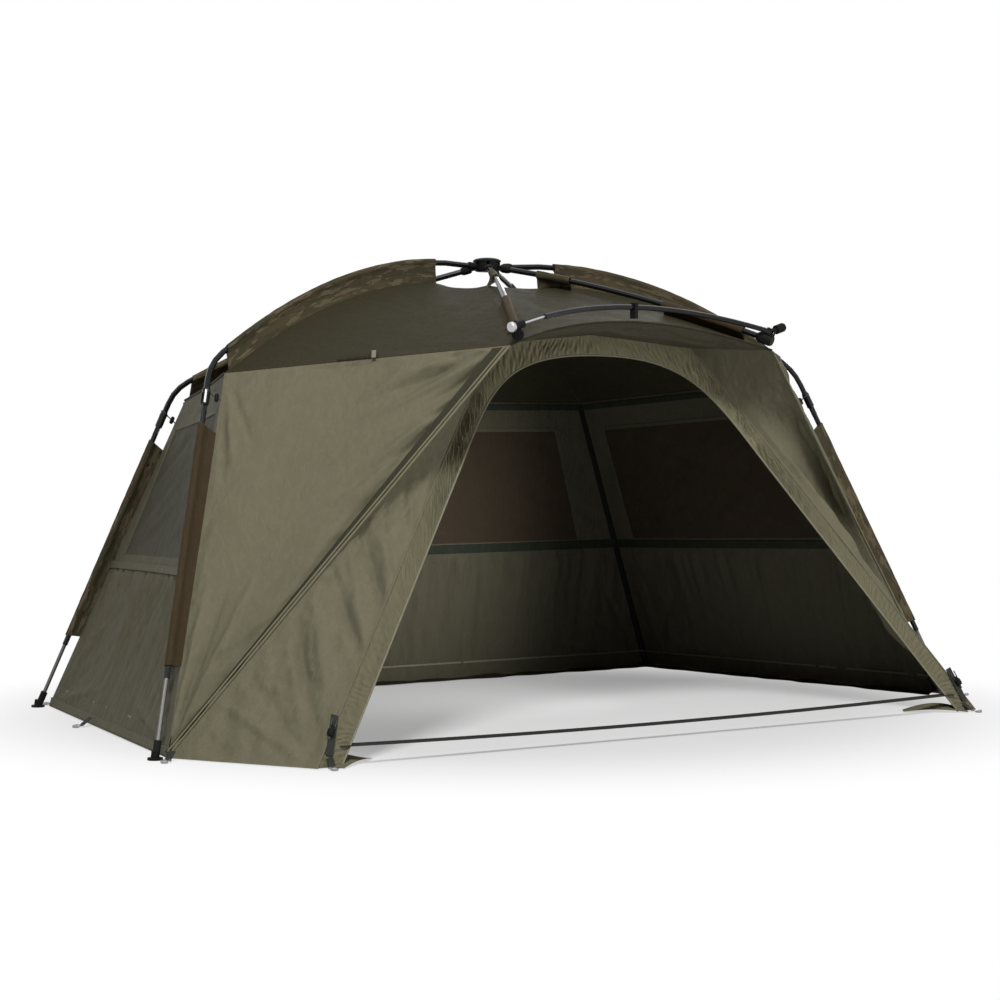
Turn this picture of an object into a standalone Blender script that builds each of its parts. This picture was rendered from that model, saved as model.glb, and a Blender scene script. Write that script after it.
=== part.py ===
"""Bivvy tent: a hub frame with arched ribs, folding telescopic legs and a front peak, and its fabric skin.

The frame stands outside the skin, which hangs from sleeves. X is to the right seen from the door,
Y runs to the rear and Z is up from the ground.
"""
import math

import bmesh
import bpy
from mathutils import Matrix, Vector

for old in list(bpy.data.objects):
    bpy.data.objects.remove(old)

# Ground plan
front_foot_out = 1.300
front_foot_ahead = 0.4215
rear_foot_out = 1.095
rear_foot_back = 0.7655
door_half_width = 0.995
door_foot_ahead = 0.7855

# Hub and ribs
hub_height = 1.251
hub_back = 0.1015
front_shoulder_out = 0.981
front_shoulder_ahead = 0.0935
front_shoulder_height = 0.963
rear_shoulder_out = 0.735
rear_shoulder_back = 0.6135
rear_shoulder_height = 0.905
front_rib_bulge = 0.090
rear_rib_bulge = 0.030
shoulder_bend = 0.045
knee_below_shoulder = 0.110
rib_radius = 0.008

# Peak
peak_out = 0.411
peak_ahead = 0.6635
peak_height = 1.054
peak_arm_bulge = 0.020
arm_below_bar = 0.024
bar_bow_back = 0.065
bar_bow_height = 0.058
bar_radius = 0.007
bar_left_end = 0.310
rod_radius = 0.003
rod_inside = 0.020
rod_bore_depth = 0.024

# Door arch, in a plane that leans back
door_lean_back = 0.365
door_lean_height = 1.014
arch_spring_out = 0.497
arch_spring_height = 0.700
arch_top_height = 0.990
band_foot_out = 1.060
band_corner_out = 0.330
band_top_height = 1.045
arch_out_shares = (1.0, 0.724, 0.604, 0.0)
arch_height_shares = (0.0, 0.69, 1.0, 1.0)

# Skin
cloth = 0.002
seam_gap = 0.0005
hem_height = 0.003
apex_drop = 0.078
front_web_inward = 0.036
front_web_ahead = 0.010
front_web_depth = 0.026
rear_web_inward = 0.037
rear_web_back = 0.008
rear_web_depth = 0.031
peak_web_outward = 0.014
peak_web_back = 0.014
peak_web_depth = 0.026
peak_edge_back = 0.068
peak_edge_rise = 0.069
front_hem_out = 1.270
front_hem_ahead = 0.4235
rear_hem_out = 1.068
rear_hem_back = 0.7505
roof_sag = 0.016
wall_sag = 0.018
wing_sag = 0.012
sleeve_wall = 0.0015
sleeve_slack = 0.0008
web_half = 0.0010
web_clearance = 0.0018
peak_web_clearance = 0.0026

# Hub parts
hub_radius = 0.038
hub_above = 0.017
hub_below = 0.011
hub_core_radius = 0.020
pivot_radius = 0.030
slot_width = 0.009
pin_radius = 0.0025
pin_half = 0.008
cap_height = 0.011
cap_overhang = 0.002

# Arm roots
tongue_thick = 0.0084
tongue_half = 0.006
root_start = 0.0152
root_radius = 0.0118
root_length = 0.030
root_socket = 0.018

# Knees and legs
fork_radius = 0.0108
fork_back = 0.040
fork_tip = 0.0105
fork_slot = 0.0088
fork_floor = 0.0225
knee_pin_half = 0.0096
knee_tongue_thick = 0.0082
knee_tongue_half = 0.0068
leg_shoulder = 0.026
leg_radius = 0.0075
leg_bore = 0.0058
leg_plug = 0.030
leg_tube_share = 0.805
lower_radius = 0.0055
lower_inside = 0.210

# Feet
foot_radius = 0.019
foot_rim = 0.007
foot_dome_radius = 0.011
foot_dome_height = 0.022
ankle_height = 0.012
ankle_radius = 0.0095
ankle_length = 0.034

# Corner clamps, knob and clip
cup_radius = 0.016
cup_length = 0.046
cup_past_arm = 0.004
collar_radius = 0.0130
collar_half = 0.0088
bar_slot = 0.0086
bar_eye_radius = 0.0066
bar_eye_thick = 0.0080
bar_eye_length = 0.025
cradle_length = 0.037
cradle_radius = 0.0100
knob_radius = 0.0135
knob_thick = 0.012
knob_bore = 0.007
end_cap_radius = 0.0125
end_cap_length = 0.030
end_cap_bore = 0.018
stub_radius = 0.0075
clip_width = 0.010
clip_thick = 0.022
clip_drop = 0.030

# Ground strap
strap_height = 0.050
strap_width = 0.025
strap_thick = 0.002
strap_overlap = 0.030

# Clearances
fit = 0.0003
overrun = 0.004

# Places along an arm or a leg, as shares of its length
roof_sleeve_shares = (0.150, 0.985)
leg_sleeve_shares = (0.165, 0.775)
peak_upper_shares = (0.110, 0.240)
peak_lower_shares = (0.600, 0.900)
hub_slack_share = 0.2
bar_lift_share = 0.12
release_rise_share = 0.48
end_cap_rise_share = 0.32
arch_turn_share = 0.45
spring_share = 0.69

rib_sides = 10
sleeve_sides = 8
fine_sides = 16
hub_sides = 40
rib_steps = 10
across_steps = 6
leg_steps = 6
wing_steps = 3

root = bpy.data.objects.new("tent", None)
bpy.context.scene.collection.objects.link(root)
pivots = {"hub": (root, Vector())}


def finish_of(name, colour, roughness, metallic):
    """Makes a Principled material."""
    material = bpy.data.materials.new(name)
    material.use_nodes = True
    shader = material.node_tree.nodes["Principled BSDF"]
    shader.inputs["Base Color"].default_value = (*colour, 1)
    shader.inputs["Roughness"].default_value = roughness
    shader.inputs["Metallic"].default_value = metallic
    return material


alloy = finish_of("black_alloy", (0.012, 0.012, 0.014), 0.25, 0.6)
moulding = finish_of("black_moulding", (0.018, 0.018, 0.019), 0.45, 0.0)
steel = finish_of("bright_steel", (0.55, 0.56, 0.58), 0.25, 1.0)
skin_olive = finish_of("olive_cloth", (0.055, 0.053, 0.034), 0.7, 0.0)
roof_olive = finish_of("dark_olive_cloth", (0.040, 0.039, 0.026), 0.7, 0.0)
camo = finish_of("camo_sleeve", (0.060, 0.050, 0.032), 0.8, 0.0)
webbing = finish_of("dark_webbing", (0.020, 0.022, 0.017), 0.8, 0.0)


def pivot(body, at, parent):
    """Makes the empty that a moving body turns or slides about."""
    parent_empty, parent_at = pivots[parent]
    empty = bpy.data.objects.new("at_" + body, None)
    bpy.context.scene.collection.objects.link(empty)
    empty.parent = parent_empty
    empty.location = at - parent_at
    pivots[body] = (empty, at.copy())


def node(name, mesh, body, material, smooth=True):
    """Gives a mesh in world places its object, on its body's pivot."""
    empty, at = pivots[body]
    mesh.transform(Matrix.Translation(-at))
    mesh.name = name
    mesh.materials.clear()
    mesh.materials.append(material)
    if smooth:
        mesh.shade_smooth()
        mesh.set_sharp_from_angle(angle=math.radians(35))
    piece = bpy.data.objects.new(name, mesh)
    bpy.context.scene.collection.objects.link(piece)
    piece.parent = empty
    return piece


def aim(along, side=None):
    """Gives the rotation whose Z runs along a direction, with X as near to side as it can be."""
    z = along.normalized()
    guide = side or (Vector((0, 0, 1)) if abs(z.z) < 0.9 else Vector((1, 0, 0)))
    y = z.cross(guide).normalized()
    x = y.cross(z)
    return Matrix((x, y, z)).transposed()


def turned(outline, at, along, sides=rib_sides):
    """Turns a closed outline of (radius, height) points about an axis."""
    work = bmesh.new()
    verts = [work.verts.new((r, 0, h)) for r, h in outline]
    edges = [work.edges.new((a, b)) for a, b in zip(verts, verts[1:] + verts[:1])]
    bmesh.ops.spin(work, geom=verts + edges, axis=(0, 0, 1), cent=(0, 0, 0), dvec=(0, 0, 0),
                   angle=math.tau, steps=sides, use_merge=True)
    bmesh.ops.remove_doubles(work, verts=work.verts, dist=0.00001)
    loose = [f for f in work.faces if f.calc_area() == 0]
    bmesh.ops.delete(work, geom=loose, context="FACES")
    bmesh.ops.recalc_face_normals(work, faces=work.faces)
    mesh = bpy.data.meshes.new("turned")
    work.to_mesh(mesh)
    work.free()
    mesh.transform(Matrix.Translation(at) @ aim(along).to_4x4())
    return mesh


def round_bore(radius, sides=rib_sides):
    """The radius of a faceted bore that keeps its clearance all round a bar."""
    return (radius + fit) / math.cos(math.pi / sides)


def rod(radius, start, end, sides=rib_sides):
    """A straight round bar."""
    length = (end - start).length
    outline = [(0, 0), (radius, 0), (radius, length), (0, length)]
    return turned(outline, start, end - start, sides)


def block(size, at, along, side):
    """A box with its middle at a point, its Z along one direction and its X towards another."""
    work = bmesh.new()
    bmesh.ops.create_cube(work, size=1)
    bmesh.ops.scale(work, vec=size, verts=work.verts)
    mesh = bpy.data.meshes.new("block")
    work.to_mesh(mesh)
    work.free()
    mesh.transform(Matrix.Translation(at) @ aim(along, side).to_4x4())
    return mesh


def tongue(half, thick, length, at, along, axis):
    """A flat tongue with a rounded end about a pin's axis, running a length along one direction."""
    arc = [math.pi * i / sleeve_sides for i in range(sleeve_sides + 1)]
    outline = [(-half, length)] + [(-half * math.cos(a), -half * math.sin(a)) for a in arc] + [(half, length)]
    work = bmesh.new()
    face = work.faces.new([work.verts.new((x, -thick / 2, z)) for x, z in outline])
    grown = bmesh.ops.extrude_face_region(work, geom=[face])
    moved = [v for v in grown["geom"] if isinstance(v, bmesh.types.BMVert)]
    bmesh.ops.translate(work, verts=moved, vec=(0, thick, 0))
    bmesh.ops.recalc_face_normals(work, faces=work.faces)
    mesh = bpy.data.meshes.new("tongue")
    work.to_mesh(mesh)
    work.free()
    mesh.transform(Matrix.Translation(at) @ aim(along, axis.cross(along)).to_4x4())
    return mesh


def combined(first, second, operation):
    """Joins, cuts or intersects two meshes with an exact Boolean."""
    pair = [bpy.data.objects.new("pair", mesh) for mesh in (first, second)]
    for piece in pair:
        bpy.context.scene.collection.objects.link(piece)
    step = pair[0].modifiers.new("step", "BOOLEAN")
    step.operation = operation
    step.solver = "EXACT"
    step.object = pair[1]
    graph = bpy.context.evaluated_depsgraph_get()
    mesh = bpy.data.meshes.new_from_object(pair[0].evaluated_get(graph))
    for piece in pair:
        bpy.data.objects.remove(piece)
    return mesh


def swept(points, radius, sides=rib_sides):
    """A round tube along a list of points, with flat filled ends."""
    line = bpy.data.curves.new("line", "CURVE")
    line.dimensions = "3D"
    line.bevel_depth = radius
    line.bevel_resolution = sides // 4
    line.use_fill_caps = True
    line.twist_mode = "MINIMUM"
    spline = line.splines.new("POLY")
    spline.points.add(len(points) - 1)
    for place, point in zip(spline.points, points):
        place.co = (*point, 1)
    holder = bpy.data.objects.new("holder", line)
    bpy.context.scene.collection.objects.link(holder)
    graph = bpy.context.evaluated_depsgraph_get()
    mesh = bpy.data.meshes.new_from_object(holder.evaluated_get(graph))
    bpy.data.objects.remove(holder)
    work = bmesh.new()
    work.from_mesh(mesh)
    bmesh.ops.remove_doubles(work, verts=work.verts, dist=0.00001)
    bmesh.ops.recalc_face_normals(work, faces=work.faces)
    work.to_mesh(mesh)
    work.free()
    return mesh


def mirrored(point):
    """The same place on the other side of the tent."""
    return Vector((-point.x, point.y, point.z))


def arched(start, end, bulge, share):
    """A point along an arch that rises above its chord."""
    point = start.lerp(end, share)
    point.z += 4 * bulge * share * (1 - share)
    return point


# The four corners, worked out on the right-hand side and mirrored to the left
hub_axis = Vector((0, hub_back, hub_height))
front_foot = Vector((front_foot_out, -front_foot_ahead, 0))
rear_foot = Vector((rear_foot_out, rear_foot_back, 0))
front_shoulder = Vector((front_shoulder_out, -front_shoulder_ahead, front_shoulder_height))
rear_shoulder = Vector((rear_shoulder_out, rear_shoulder_back, rear_shoulder_height))
bar_end = Vector((peak_out, -peak_ahead, peak_height))
peak_tip = bar_end - Vector((0, 0, arm_below_bar))

corners = {
    "front_right": (front_shoulder, front_foot, front_rib_bulge),
    "front_left": (mirrored(front_shoulder), mirrored(front_foot), front_rib_bulge),
    "rear_right": (rear_shoulder, rear_foot, rear_rib_bulge),
    "rear_left": (mirrored(rear_shoulder), mirrored(rear_foot), rear_rib_bulge),
}
peaks = {"peak_right": peak_tip, "peak_left": mirrored(peak_tip)}


def plan_direction(end):
    """The level direction from the hub's axis to the end of an arm."""
    level = end - hub_axis
    level.z = 0
    return level.normalized()


def arm_pivot(end):
    """Where an arm's pin sits in the hub."""
    return hub_axis + plan_direction(end) * pivot_radius


def arm_start_direction(end, bulge):
    """The direction in which an arm leaves its pin."""
    return (end - arm_pivot(end) + Vector((0, 0, 4 * bulge))).normalized()


def arm_point(end, bulge, share):
    """A point on an arm's centre line, from the mouth of its root to its end."""
    mouth = arm_pivot(end) + arm_start_direction(end, bulge) * (root_start + root_length)
    return arched(mouth, end, bulge, share)


arms = {"rib_" + name: (shoulder, bulge) for name, (shoulder, foot, bulge) in corners.items()}
arms.update({name: (tip, peak_arm_bulge) for name, tip in peaks.items()})


def knee_of(shoulder, foot):
    """The knee's pin, on the straight line from the shoulder to the foot."""
    return shoulder + (foot - shoulder).normalized() * knee_below_shoulder


for name, (end, bulge) in arms.items():
    pivot(name, arm_pivot(end), "hub")
for name, (shoulder, foot, bulge) in corners.items():
    pivot("leg_" + name, knee_of(shoulder, foot), "rib_" + name)
    pivot("lower_leg_" + name, shoulder.lerp(foot, leg_tube_share), "leg_" + name)


# Hub: a slotted body with a pin seat for each arm, closed by a domed cap
def hub_body():
    bottom = hub_height - hub_below
    outline = [(0, 0), (hub_radius * 0.8, 0), (hub_radius, hub_below * 0.4),
               (hub_radius, hub_below + hub_above), (0, hub_below + hub_above)]
    base = hub_axis.copy()
    base.z = bottom
    mesh = turned(outline, base, Vector((0, 0, 1)), hub_sides)
    for end, bulge in arms.values():
        out = plan_direction(end)
        seat = arm_pivot(end)
        slot_length = hub_radius - hub_core_radius + overrun
        middle = hub_axis + out * (hub_core_radius + slot_length / 2)
        size = (hub_below + hub_above + 2 * overrun, slot_width, slot_length)
        mesh = combined(mesh, block(size, middle, out, Vector((0, 0, 1))), "DIFFERENCE")
        side = out.cross(Vector((0, 0, 1)))
        groove_length = hub_above + overrun
        groove = tongue(pin_radius + fit, 2 * (pin_half + fit), groove_length, seat, Vector((0, 0, 1)), side)
        mesh = combined(mesh, groove, "DIFFERENCE")
    return mesh


node("hub_body", hub_body(), "hub", moulding)

cap_base = hub_axis + Vector((0, 0, hub_above + fit))
cap_outline = [(0, 0), (hub_radius + cap_overhang, 0), (hub_radius + cap_overhang, cap_height * 0.35),
               (hub_radius * 0.85, cap_height * 0.75), (hub_radius * 0.45, cap_height), (0, cap_height)]
node("hub_cap", turned(cap_outline, cap_base, Vector((0, 0, 1)), hub_sides), "hub", moulding)


# Arm roots: a tongue with its own pin, and a socket for the pole
def arm_root(end, bulge):
    seat = arm_pivot(end)
    along = arm_start_direction(end, bulge)
    side = plan_direction(end).cross(Vector((0, 0, 1)))
    taper = root_length * 0.25
    outline = [(0, 0), (root_radius * 0.8, 0), (root_radius, taper), (root_radius, root_length - taper),
               (round_bore(rib_radius) + 4 * fit, root_length),
               (round_bore(rib_radius), root_length), (round_bore(rib_radius), root_length - root_socket),
               (0, root_length - root_socket)]
    mesh = turned(outline, seat + along * root_start, along)
    mesh = combined(mesh, tongue(tongue_half, tongue_thick, root_start + taper, seat, along, side), "UNION")
    reach = side * pin_half
    return combined(mesh, rod(pin_radius, seat - reach, seat + reach), "UNION")


for name, (end, bulge) in arms.items():
    node("root_" + name, arm_root(end, bulge), name, moulding)


# Poles: each starts in its root's socket
def pole_line(end, bulge, last):
    """A pole's centre line: straight in its socket, then an arch up to a share of the arm."""
    along = arm_start_direction(end, bulge)
    points = [arm_pivot(end) + along * (root_start + root_length - root_socket + fit)]
    return points + [arm_point(end, bulge, last * i / rib_steps) for i in range(rib_steps + 1)]


def rib_line(shoulder, foot, bulge):
    """The centre line of a rib: an arch, a rounded shoulder and a straight run into the knee fork."""
    down = (foot - shoulder).normalized()
    last = 1 - shoulder_bend / (shoulder - arm_pivot(shoulder)).length
    points = pole_line(shoulder, bulge, last)
    bend_in = points[-1]
    bend_out = shoulder + down * shoulder_bend
    for t in (1 / 3, 2 / 3, 1):
        points.append(bend_in.lerp(shoulder, t).lerp(shoulder.lerp(bend_out, t), t))
    points.append(shoulder + down * (knee_below_shoulder - fork_back * 0.6))
    return points


def knee_axis(shoulder, foot):
    """The knee pin's direction: turning about it by the right-hand rule folds the leg inward."""
    along = (foot - shoulder).normalized()
    return along.cross(arm_pivot(shoulder) - shoulder).normalized()


def rib(shoulder, foot, bulge):
    mesh = swept(rib_line(shoulder, foot, bulge), rib_radius)
    knee = knee_of(shoulder, foot)
    along = (foot - shoulder).normalized()
    axis = knee_axis(shoulder, foot)
    outline = [(0, 0), (rib_radius + 2 * fit, 0), (fork_radius, fork_back * 0.2),
               (fork_radius, fork_back + fork_tip * 0.6), (fork_radius * 0.7, fork_back + fork_tip),
               (0, fork_back + fork_tip)]
    fork = turned(outline, knee - along * fork_back, along, rib_sides + 4)
    slot_length = fork_floor + fork_tip + overrun
    middle = knee + along * (slot_length / 2 - fork_floor)
    cutter = block((2 * (fork_radius + overrun), fork_slot, slot_length), middle, along, along.cross(axis))
    fork = combined(fork, cutter, "DIFFERENCE")
    reach = axis * knee_pin_half
    fork = combined(fork, rod(pin_radius, knee - reach, knee + reach), "UNION")
    return combined(mesh, fork, "UNION")


for name, (shoulder, foot, bulge) in corners.items():
    node("rib_" + name, rib(shoulder, foot, bulge), "rib_" + name, alloy)


# Upper legs: a tube with a blind bore and a tongue that folds in the knee fork
def upper_leg(shoulder, foot):
    knee = knee_of(shoulder, foot)
    along = (foot - shoulder).normalized()
    axis = knee_axis(shoulder, foot)
    end = (foot - shoulder).length * leg_tube_share - knee_below_shoulder
    outline = [(0, leg_shoulder), (leg_radius, leg_shoulder), (leg_radius, end),
               (leg_bore, end), (leg_bore, leg_shoulder + leg_plug), (0, leg_shoulder + leg_plug)]
    mesh = turned(outline, knee, along)
    length = leg_shoulder + leg_plug * 0.3
    mesh = combined(mesh, tongue(knee_tongue_half, knee_tongue_thick, length, knee, along, axis), "UNION")
    reach = axis * knee_pin_half
    return combined(mesh, rod(pin_radius + fit, knee - reach, knee + reach), "DIFFERENCE")


for name, (shoulder, foot, bulge) in corners.items():
    node("leg_" + name, upper_leg(shoulder, foot), "leg_" + name, alloy)


# Lower legs: bars that slide in the upper legs, each with a moulded foot
def ankle_of(shoulder, foot):
    """Where a leg's centre line enters its foot."""
    return foot.lerp(shoulder, ankle_height / shoulder.z)


def lower_leg(shoulder, foot):
    along = (foot - shoulder).normalized()
    top = shoulder.lerp(foot, leg_tube_share) - along * lower_inside
    return rod(lower_radius, top, ankle_of(shoulder, foot))


def foot_pad(shoulder, foot):
    outline = [(0, 0), (foot_radius, 0), (foot_radius, foot_rim * 0.8), (foot_dome_radius, foot_rim),
               (foot_dome_radius * 0.8, foot_dome_height), (0, foot_dome_height)]
    mesh = turned(outline, foot, Vector((0, 0, 1)), fine_sides)
    up = (shoulder - foot).normalized()
    ankle = ankle_of(shoulder, foot)
    mesh = combined(mesh, rod(ankle_radius, ankle - up * foot_rim * 0.5, ankle + up * ankle_length), "UNION")
    bore = rod(lower_radius + fit, ankle - up * fit, ankle + up * (ankle_length + overrun))
    return combined(mesh, bore, "DIFFERENCE")


for name, (shoulder, foot, bulge) in corners.items():
    node("lower_leg_" + name, lower_leg(shoulder, foot), "lower_leg_" + name, alloy)
    node("foot_" + name, foot_pad(shoulder, foot), "lower_leg_" + name, moulding)


# Peak arms: plain poles from the hub into the corner cups
def peak_arm(tip):
    return swept(pole_line(tip, peak_arm_bulge, 1), rib_radius)


for name, tip in peaks.items():
    node(name + "_arm", peak_arm(tip), name, alloy)


# Cross bar: a bowed pole that hinges at the right-hand clamp and hooks into the left-hand one
def bar_point(share):
    """A point on the bar's centre line, from its right-hand pin to its left-hand hook."""
    point = bar_end.lerp(mirrored(bar_end), share)
    bow = 4 * share * (1 - share)
    point.y += bow * bar_bow_back
    point.z += bow * bar_bow_height
    return point


bar_span = 2 * peak_out
bar_start = (bar_point(0.02) - bar_point(0)).normalized()
bar_last = (peak_out + bar_left_end) / bar_span
rod_out = (bar_point(1) - bar_point(bar_last)).normalized()
arm_back = (arm_pivot(peak_tip) - peak_tip).normalized()
arm_back = (arm_back + Vector((0, 0, bar_lift_share))).normalized()
swing_axis = arm_back.cross(bar_start).normalized()
if swing_axis.z < 0:
    swing_axis.negate()
pivot("bar", bar_end, "peak_right")
hook = mirrored(bar_end)
knob_inner = hook + rod_out * (cradle_length / 2 + fit)
pivot("knob", knob_inner, "bar")


def tension_bar():
    eye_share = bar_eye_length / bar_span
    steps = 2 * rib_steps
    points = [bar_end + bar_start * bar_eye_length * 0.6]
    points += [bar_point(eye_share + (bar_last - eye_share) * i / steps) for i in range(steps + 1)]
    mesh = swept(points, bar_radius)
    eye = tongue(bar_eye_radius, bar_eye_thick, bar_eye_length * 0.8, bar_end, bar_start, swing_axis)
    mesh = combined(mesh, eye, "UNION")
    reach = swing_axis * (bar_eye_thick + overrun)
    mesh = combined(mesh, rod(pin_radius + fit, bar_end - reach, bar_end + reach), "DIFFERENCE")
    end = bar_point(bar_last)
    bore = rod(rod_radius + fit, end + rod_out * overrun, end - rod_out * rod_bore_depth)
    return combined(mesh, bore, "DIFFERENCE")


def adjuster_rod():
    return rod(rod_radius, bar_point(bar_last) - rod_out * rod_inside, knob_inner + rod_out * knob_bore * 0.8)


def adjuster_knob():
    rim = knob_thick * 0.2
    outline = [(rod_radius + fit, 0), (knob_radius - rim, 0), (knob_radius, rim), (knob_radius, knob_thick - rim),
               (knob_radius - rim, knob_thick), (0, knob_thick), (0, knob_bore), (rod_radius + fit, knob_bore)]
    return turned(outline, knob_inner, rod_out, fine_sides)


node("tension_bar", tension_bar(), "bar", alloy)
node("adjuster_rod", adjuster_rod(), "bar", steel)
node("adjuster_knob", adjuster_knob(), "knob", steel)


# Corner clamps: a cup on each peak arm's end, with the bar's hinge or its hook on top
def cup(tip):
    along = (tip - arm_point(tip, peak_arm_bulge, 1 - 1 / rib_steps)).normalized()
    depth = cup_length - cup_past_arm
    outline = [(0, 0), (cup_radius * 0.85, 0), (cup_radius, cup_length * 0.15), (cup_radius, cup_length * 0.8),
               (rib_radius + 6 * fit, cup_length), (round_bore(rib_radius, fine_sides), cup_length),
               (round_bore(rib_radius, fine_sides), cup_past_arm - fit), (0, cup_past_arm - fit)]
    return turned(outline, tip + along * cup_past_arm, -along, fine_sides)


def clamp_right():
    half = swing_axis * collar_half
    mesh = combined(cup(peak_tip), rod(collar_radius, bar_end - half, bar_end + half, fine_sides), "UNION")
    out = end_cap_direction
    stub_end = bar_end + out * (collar_radius + end_cap_bore)
    mesh = combined(mesh, rod(stub_radius, bar_end + out * bar_eye_radius * 1.5, stub_end), "UNION")
    floor = bar_eye_radius + 2 * fit
    size = (4 * collar_radius, bar_slot, 3 * collar_radius)
    middle = bar_end + slot_direction * (1.5 * collar_radius - floor)
    mesh = combined(mesh, block(size, middle, slot_direction, swing_axis.cross(slot_direction)), "DIFFERENCE")
    return combined(mesh, rod(pin_radius, bar_end - half * 0.9, bar_end + half * 0.9), "UNION")


def clamp_left():
    half = rod_out * cradle_length / 2
    tip = mirrored(peak_tip)
    mesh = combined(cup(tip), rod(cradle_radius, hook - half, hook + half, fine_sides), "UNION")
    release = Vector((0, 1, release_rise_share)).normalized()
    reach = cradle_radius + overrun
    size = (cradle_length + 2 * overrun, 2 * (rod_radius + fit), reach)
    slot = block(size, hook + release * reach / 2, release, rod_out)
    mesh = combined(mesh, slot, "DIFFERENCE")
    long_half = rod_out * (cradle_length / 2 + overrun)
    return combined(mesh, rod(rod_radius + fit, hook - long_half, hook + long_half), "DIFFERENCE")


slot_direction = (bar_start + arm_back).normalized()
end_cap_direction = Vector((1, 0, end_cap_rise_share)).normalized()
node("clamp_right", clamp_right(), "peak_right", moulding)
node("clamp_left", clamp_left(), "peak_left", moulding)

cap_lean = abs(end_cap_direction.dot(swing_axis))
cap_seat = bar_end + end_cap_direction * (collar_radius + collar_half * cap_lean + fit)
cap_profile = [(stub_radius + fit, 0), (end_cap_radius, 0), (end_cap_radius, end_cap_length * 0.85),
               (end_cap_radius * 0.8, end_cap_length), (0, end_cap_length), (0, end_cap_bore + fit),
               (stub_radius + fit, end_cap_bore + fit)]
node("bar_end_cap", turned(cap_profile, cap_seat, end_cap_direction, fine_sides), "peak_right", moulding)


def bar_clip():
    """A plate that hangs from the bar's middle down to the edge of the roof."""
    middle = bar_point(0.5)
    size = (clip_width, clip_thick, clip_drop + clip_thick / 2)
    mesh = block(size, middle - Vector((0, 0, clip_drop / 2 - clip_thick / 4)), Vector((0, 0, 1)), Vector((1, 0, 0)))
    reach = Vector((clip_width, 0, 0))
    return combined(mesh, rod(round_bore(bar_radius), middle - reach, middle + reach),
                    "DIFFERENCE")


node("bar_clip", bar_clip(), "bar", moulding)


# Skin: seams first, then panels that meet at them, each inset a little from its seams
def ladder(steps):
    return [i / steps for i in range(steps + 1)]


def seam_drop(i, drop):
    """How far the skin hangs below an arm's station: the full slack at the hub, the web's depth further out."""
    share = min(1, i / (hub_slack_share * rib_steps))
    share = share * share * (3 - 2 * share)
    return Vector((0, 0, -apex_drop)).lerp(drop, share)


def ridge(end, bulge, last, corner):
    """An arm's stations and the seam below them, which ends at a corner of the roof."""
    stations = pole_line(end, bulge, last)[1:]
    drop = corner - stations[-1]
    return stations, [point + seam_drop(i, drop) for i, point in enumerate(stations)]


front_seam = front_shoulder - Vector((front_web_inward, front_web_ahead, front_web_depth))
rear_seam = rear_shoulder - Vector((rear_web_inward, -rear_web_back, rear_web_depth))
peak_seam = peak_tip + Vector((peak_web_outward, peak_web_back, -peak_web_depth))
front_hem = Vector((front_hem_out, -front_hem_ahead, hem_height))
rear_hem = Vector((rear_hem_out, rear_hem_back, hem_height))
skin_apex = hub_axis - Vector((0, 0, apex_drop))


def last_share(shoulder):
    return 1 - shoulder_bend / (shoulder - arm_pivot(shoulder)).length


ridges = {
    "front_right": ridge(front_shoulder, front_rib_bulge, last_share(front_shoulder), front_seam),
    "rear_right": ridge(rear_shoulder, rear_rib_bulge, last_share(rear_shoulder), rear_seam),
    "peak_right": ridge(peak_tip, peak_arm_bulge, 1, peak_seam),
}
for name in list(ridges):
    stations, seam = ridges[name]
    flipped = [mirrored(p) for p in stations], [mirrored(p) for p in seam]
    ridges[name.replace("right", "left")] = flipped

door_lean = door_lean_back / door_lean_height


def on_door(out, height):
    """A place in the leaning plane of the door."""
    return Vector((out, height * door_lean - door_foot_ahead, height))


def arch_inner(share):
    """The door's edge on the right, from the ground at 0 to the middle of the top at 1."""
    if share < spring_share:
        up = share / spring_share
        height = hem_height + (arch_spring_height - hem_height) * up
        return on_door(door_half_width + (arch_spring_out - door_half_width) * height / arch_spring_height, height)
    t = (share - spring_share) / (1 - spring_share)
    weights = ((1 - t) ** 3, 3 * t * (1 - t) ** 2, 3 * t * t * (1 - t), t ** 3)
    out = sum(w * arch_spring_out * s for w, s in zip(weights, arch_out_shares))
    rise = sum(w * (arch_top_height - arch_spring_height) * s for w, s in zip(weights, arch_height_shares))
    return on_door(out, arch_spring_height + rise)


turn = spring_share + (1 - spring_share) * arch_turn_share
leg_inner = [arch_inner(turn * s) for s in ladder(leg_steps)]
top_inner = [arch_inner(turn + (1 - turn) * s) for s in ladder(across_steps // 2)]
foot_outer = on_door(band_foot_out, hem_height)
corner_outer = on_door(band_corner_out, door_lean_height)
top_outer = on_door(0, band_top_height)
leg_outer = [foot_outer.lerp(corner_outer, s) for s in ladder(leg_steps)]
top_rise = [corner_outer.lerp(top_outer, s) for s in ladder(across_steps // 2)]


def across(left, right, bow, steps=across_steps):
    """Points from one to the other, bowed by a vector at the middle."""
    return [left.lerp(right, s) + bow * (4 * s * (1 - s)) for s in ladder(steps)]


def roof_panel(left, right, bow):
    """A panel from the hub out between two ridges; its outer edge bows by a vector."""
    rows = [[skin_apex] * (across_steps + 1)]
    count = len(ridges[left][1])
    for i, (a, b) in enumerate(zip(ridges[left][1], ridges[right][1])):
        share = (i + 1) / count
        sag = Vector((0, 0, -roof_sag)) * math.sin(math.pi * share)
        rows.append(across(a, b, bow * share ** 2 + sag))
    return rows


def wall(top, left_hem, right_hem, sag):
    """A wall from a roof edge down to the hem."""
    bottom = across(left_hem, right_hem, Vector())
    return [[a.lerp(b, t) + sag * (4 * s * (1 - s) * math.sin(math.pi * t))
             for s, a, b in zip(ladder(across_steps), top, bottom)] for t in ladder(leg_steps)]


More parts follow.
